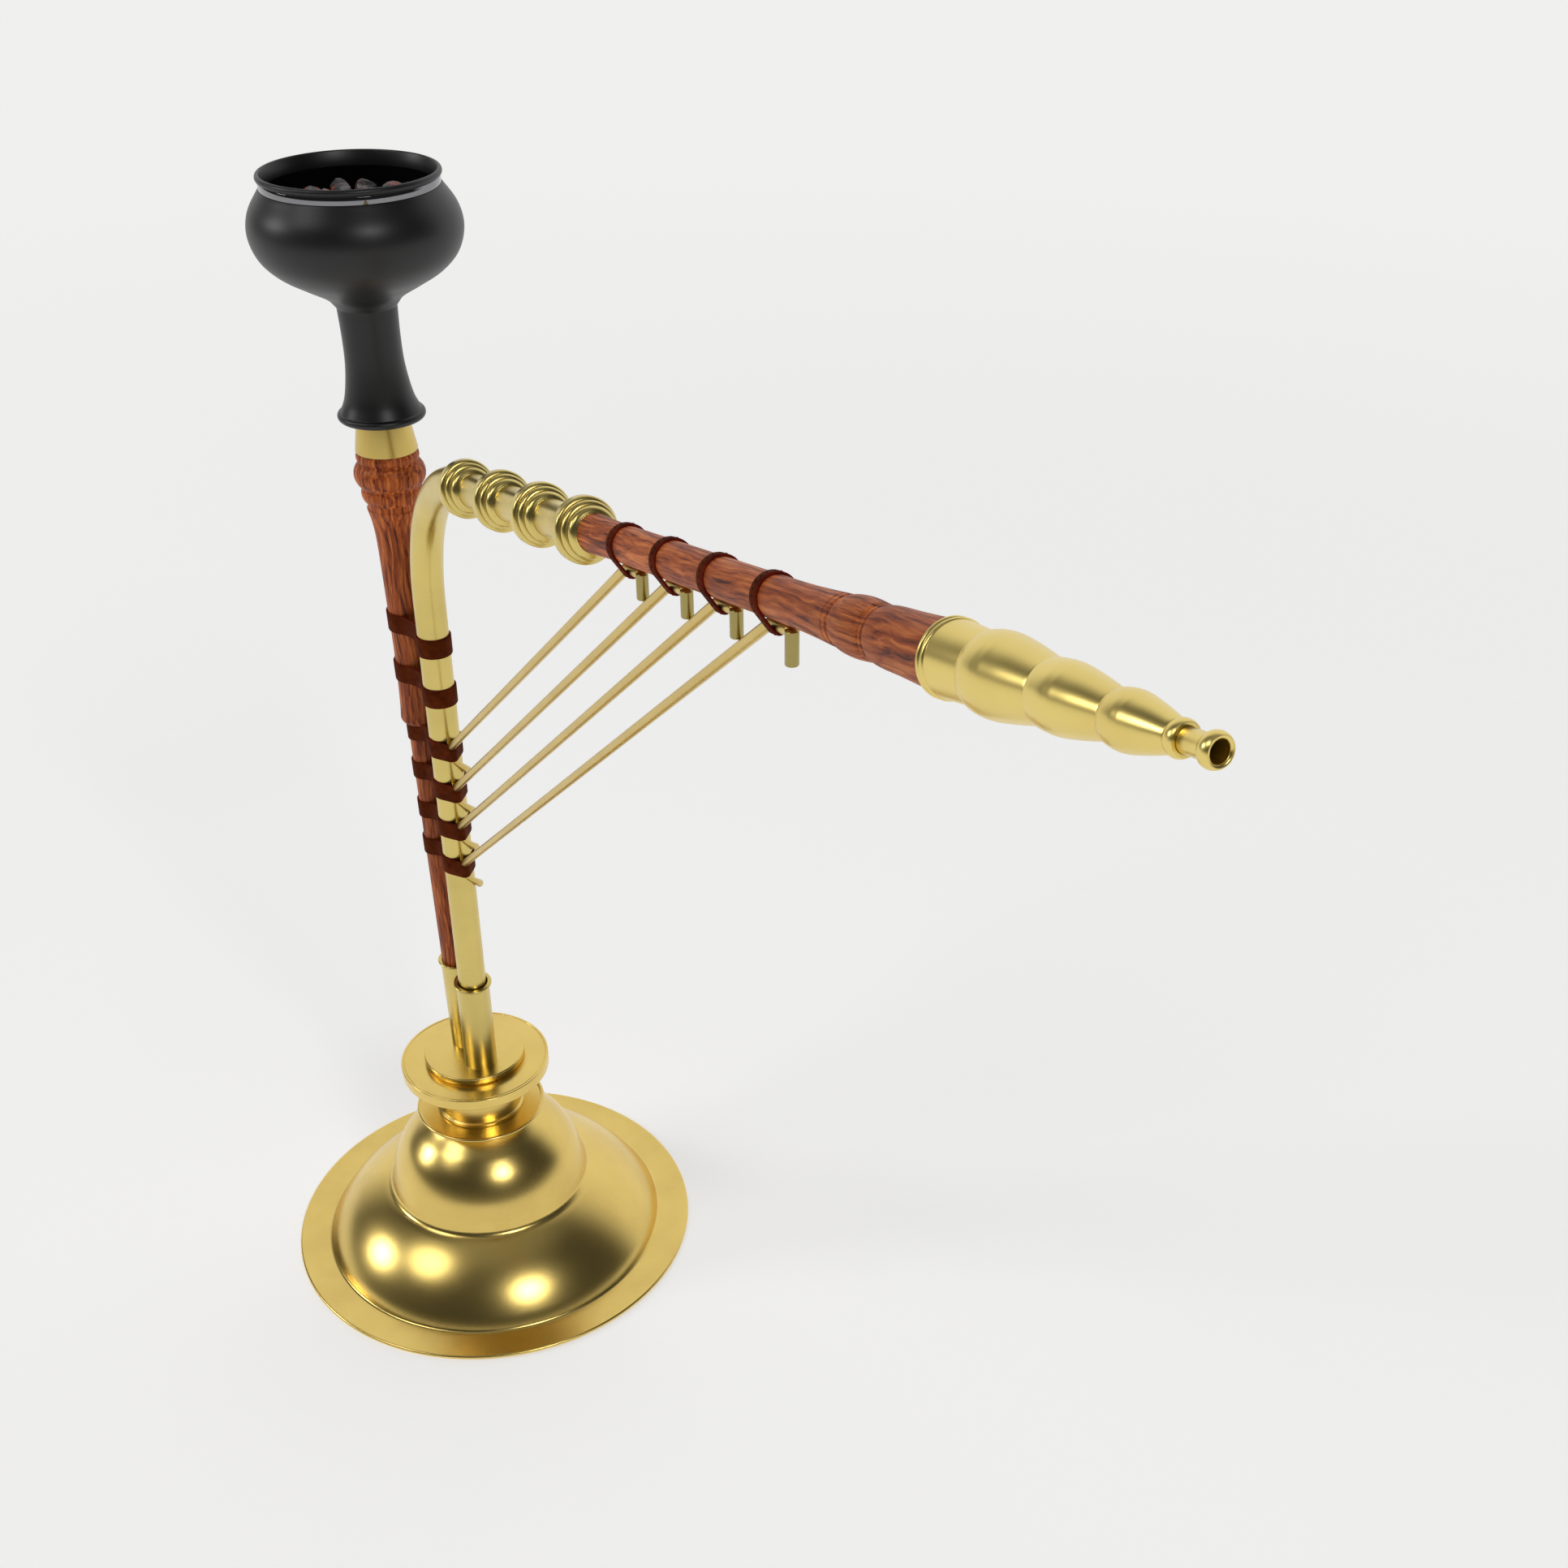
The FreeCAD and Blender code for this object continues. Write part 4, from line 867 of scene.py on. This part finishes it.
def make_bowl():
    """The gasket on the seat's cone, the fired clay bowl on it and the bowl's steel band."""
    low, high = GASKET_Z, GASKET_Z + GASKET_H
    low_r, high_r = seat_r(low) + GASKET_GAP, seat_r(high) + GASKET_GAP
    turned("bowl_gasket_moulded", outline(
        (low_r, low), (low_r + GASKET_T, low), (high_r + GASKET_T, high), (high_r, high)),
        ON_STEM, RUBBER, "gasket", "seal", ["bowl_gasket"], segments=SLIM_SEGMENTS)
    foot, socket = BOWL_FOOT_Z, GASKET_T + 0.4
    groove_r, lip, top = BAND_GROOVE_R, BAND_Z + BAND_H, BOWL_TOP_Z
    turned("chillum_fired", outline(
        (16.4, foot), (20.3, foot), ((21.8, foot + 2.0), (20.0, foot + 3.8)),
        [(17.4, 547.5), (15.5, 556), (14.3, 566), (BOWL_WAIST_R, 578), (14.5, 591.5)],
        [(18.8, 596.3), (29.5, 602.4), (40.2, 608.8), (47.2, 616.2), (BOWL_R, 626), (48.4, 635.2),
         (41.9, BAND_Z)],
        (groove_r, BAND_Z), (groove_r, lip), (41.4, lip), ((BOWL_RIM_R, lip + 1.5), (41.4, top)),
        ((40.9, top - 0.1), (40.5, top - 0.6)), (BOWL_MOUTH_R + 0.4, lip), (BOWL_MOUTH_R, 645),
        [(42.6, 637.5), (45.4, 629), (43.2, 621), (38.2, SCREEN_Z)], (33.0, SCREEN_Z),
        [(24, 606.0), (13.5, 599.5), (8.5, 594)], (8.5, 562), (11.2, SEAT_TOP_Z + 1),
        (seat_r(high) + socket, high), (seat_r(low) + socket, low)),
        ON_STEM, CLAY, "bowl", "clay", ["chillum"], soft=0.5, segments=BOWL_SEGMENTS)
    turned("rim_band_polished", outline(
        (groove_r, BAND_Z), (groove_r + 1.4, BAND_Z),
        ((groove_r + 1.5, BAND_Z + BAND_H / 2), (groove_r + 1.2, lip)), (groove_r, lip)),
        ON_STEM, STEEL, "bowl", "band", ["rim_band"], soft=0.2, segments=BOWL_SEGMENTS)


def add_lump(bm, rng, middle):
    """One lump of coal: a ball cut by flat broken faces, with a rough skin."""
    lump = bmesh.ops.create_icosphere(bm, subdivisions=4, radius=1.0)["verts"]
    size = Vector([rng.uniform(*limits) for limits in COAL_SIZE])
    spin = Matrix.Rotation(rng.uniform(0, 2 * pi), 3, "Z")
    spin = spin @ Matrix.Rotation(rng.uniform(-COAL_TILT, COAL_TILT), 3, "X")
    cuts = []
    for _ in range(COAL_CUTS):
        normal = Vector((rng.gauss(0, 1), rng.gauss(0, 1), rng.gauss(0, 1))).normalized()
        cuts.append((normal, rng.uniform(*COAL_CUT_DEPTH)))
    shift = Vector((rng.uniform(0, 90), rng.uniform(0, 90), rng.uniform(0, 90)))
    for vertex in lump:
        p = vertex.co.copy()
        for normal, depth in cuts:
            over = p.dot(normal) - depth
            if over > 0:
                p -= normal * over
        p *= 1 + 0.05 * noise.noise(p * 3 + shift) + 0.02 * noise.noise(p * 11 + shift)
        p = spin @ Vector((p.x * size.x, p.y * size.y, p.z * size.z))
        vertex.co = (middle + p + Vector((STEM_X, 0, 0))) * MM


def make_coals():
    """Broken charcoal in layers that rest on each other."""
    rng = Random(7)
    floor_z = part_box("coals")[0].z / MM
    bm = bmesh.new()
    for layer, rows in enumerate(COAL_LAYERS):
        z = floor_z + COAL_FIRST_Z + layer * COAL_LAYER_H
        for circle_r, count in rows:
            for i in range(count):
                angle = 2 * pi * (i + 0.5 * layer) / count
                add_lump(bm, rng, Vector((circle_r * cos(angle), circle_r * sin(angle), z)))
    for face in bm.faces:
        face.smooth = True
    mesh = bpy.data.meshes.new("coals_broken")
    bm.to_mesh(mesh)
    bm.free()
    finish_piece("coals_broken", mesh, [CHARCOAL], "fire", ["coals"], sharp=24)


def dress_cad_nodes():
    """CAD pieces that stay as they are get their finish."""
    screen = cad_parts["coal_screen"]
    screen.data.materials.clear()
    screen.data.materials.append(SCALED_STEEL)


# ---- studio ------------------------------------------------------------------------------------
def make_floor():
    """A wide white floor just under the object."""
    mesh = bpy.data.meshes.new("studio_floor")
    half = FLOOR_HALF
    corners = [(-half, -half, 0), (half, -half, 0), (half, half, 0), (-half, half, 0)]
    mesh.from_pydata(corners, [], [(0, 1, 2, 3)])
    mesh.materials.append(studio_floor())
    floor = bpy.data.objects.new("studio_floor", mesh)
    bpy.context.scene.collection.objects.link(floor)
    floor.location.z = FLOOR_Z


def make_light(name, azimuth, height, size, power):
    """A round soft box that looks at the base from an azimuth and a height in degrees."""
    light = bpy.data.lights.new(name, "AREA")
    light.shape = "DISK"
    light.size = size
    light.energy = power
    lamp = bpy.data.objects.new(name, light)
    bpy.context.scene.collection.objects.link(lamp)
    level = cos(radians(height))
    towards = Vector((level * cos(radians(azimuth)), level * sin(radians(azimuth)), sin(radians(height))))
    lamp.location = LIGHT_TARGET + towards * LIGHT_DISTANCE
    lamp.rotation_euler = towards.to_track_quat("Z", "Y").to_euler()


def make_world():
    """A white wall on one side, a dim ceiling and darkness on the other; the backdrop is plain white."""
    world = bpy.data.worlds.new("studio")
    world.use_nodes = True
    tree = world.node_tree
    new, link = tree.nodes.new, tree.links.new
    direction = new("ShaderNodeTexCoord").outputs["Generated"]
    wall = new("ShaderNodeVectorMath")
    wall.operation = "DOT_PRODUCT"
    wall.inputs[1].default_value = (cos(BRIGHT_SIDE), sin(BRIGHT_SIDE), 0.0)
    link(direction, wall.inputs[0])
    height = new("ShaderNodeSeparateXYZ")
    link(direction, height.inputs[0])
    value = None
    for source, edge, level in ((wall.outputs["Value"], WALL_EDGE, WALL),
                                (height.outputs["Z"], CEILING_EDGE, CEILING)):
        share = new("ShaderNodeMapRange")
        share.interpolation_type = "SMOOTHSTEP"
        share.inputs["From Min"].default_value = edge[0]
        share.inputs["From Max"].default_value = edge[1]
        link(source, share.inputs["Value"])
        mix = new("ShaderNodeMix")
        mix.inputs["A"].default_value = DARK
        mix.inputs["B"].default_value = level
        link(share.outputs[0], mix.inputs["Factor"])
        if value:
            link(value, mix.inputs["A"])
        value = mix.outputs["Result"]
    seen = new("ShaderNodeMix")
    seen.inputs["B"].default_value = SEEN
    link(value, seen.inputs["A"])
    link(new("ShaderNodeLightPath").outputs["Is Camera Ray"], seen.inputs["Factor"])
    background = tree.nodes["Background"]
    background.inputs["Color"].default_value = (1, 1, 1, 1)
    link(seen.outputs["Result"], background.inputs["Strength"])
    bpy.context.scene.world = world


def make_studio():
    """The world, the lights and plain colour, without a film look."""
    make_world()
    for light in LIGHTS:
        make_light(*light)
    bpy.context.scene.view_settings.view_transform = "Standard"


def make_camera():
    """The photographer's view."""
    data = bpy.data.cameras.new("view")
    data.lens, data.sensor_width, data.shift_y = CAMERA_LENS, CAMERA_SENSOR, CAMERA_SHIFT
    camera = bpy.data.objects.new("view", data)
    bpy.context.scene.collection.objects.link(camera)
    camera.location = CAMERA_AT
    camera.rotation_euler = CAMERA_LOOK.to_track_quat("-Z", "Y").to_euler()
    bpy.context.scene.camera = camera


make_camera()
make_base()
make_cap()
make_stem()
make_gooseneck()
make_rings()
make_mouth_pipe()
make_leather()
make_rods()
make_mouthpiece()
make_bowl()
make_coals()
dress_cad_nodes()
make_floor()
make_studio()
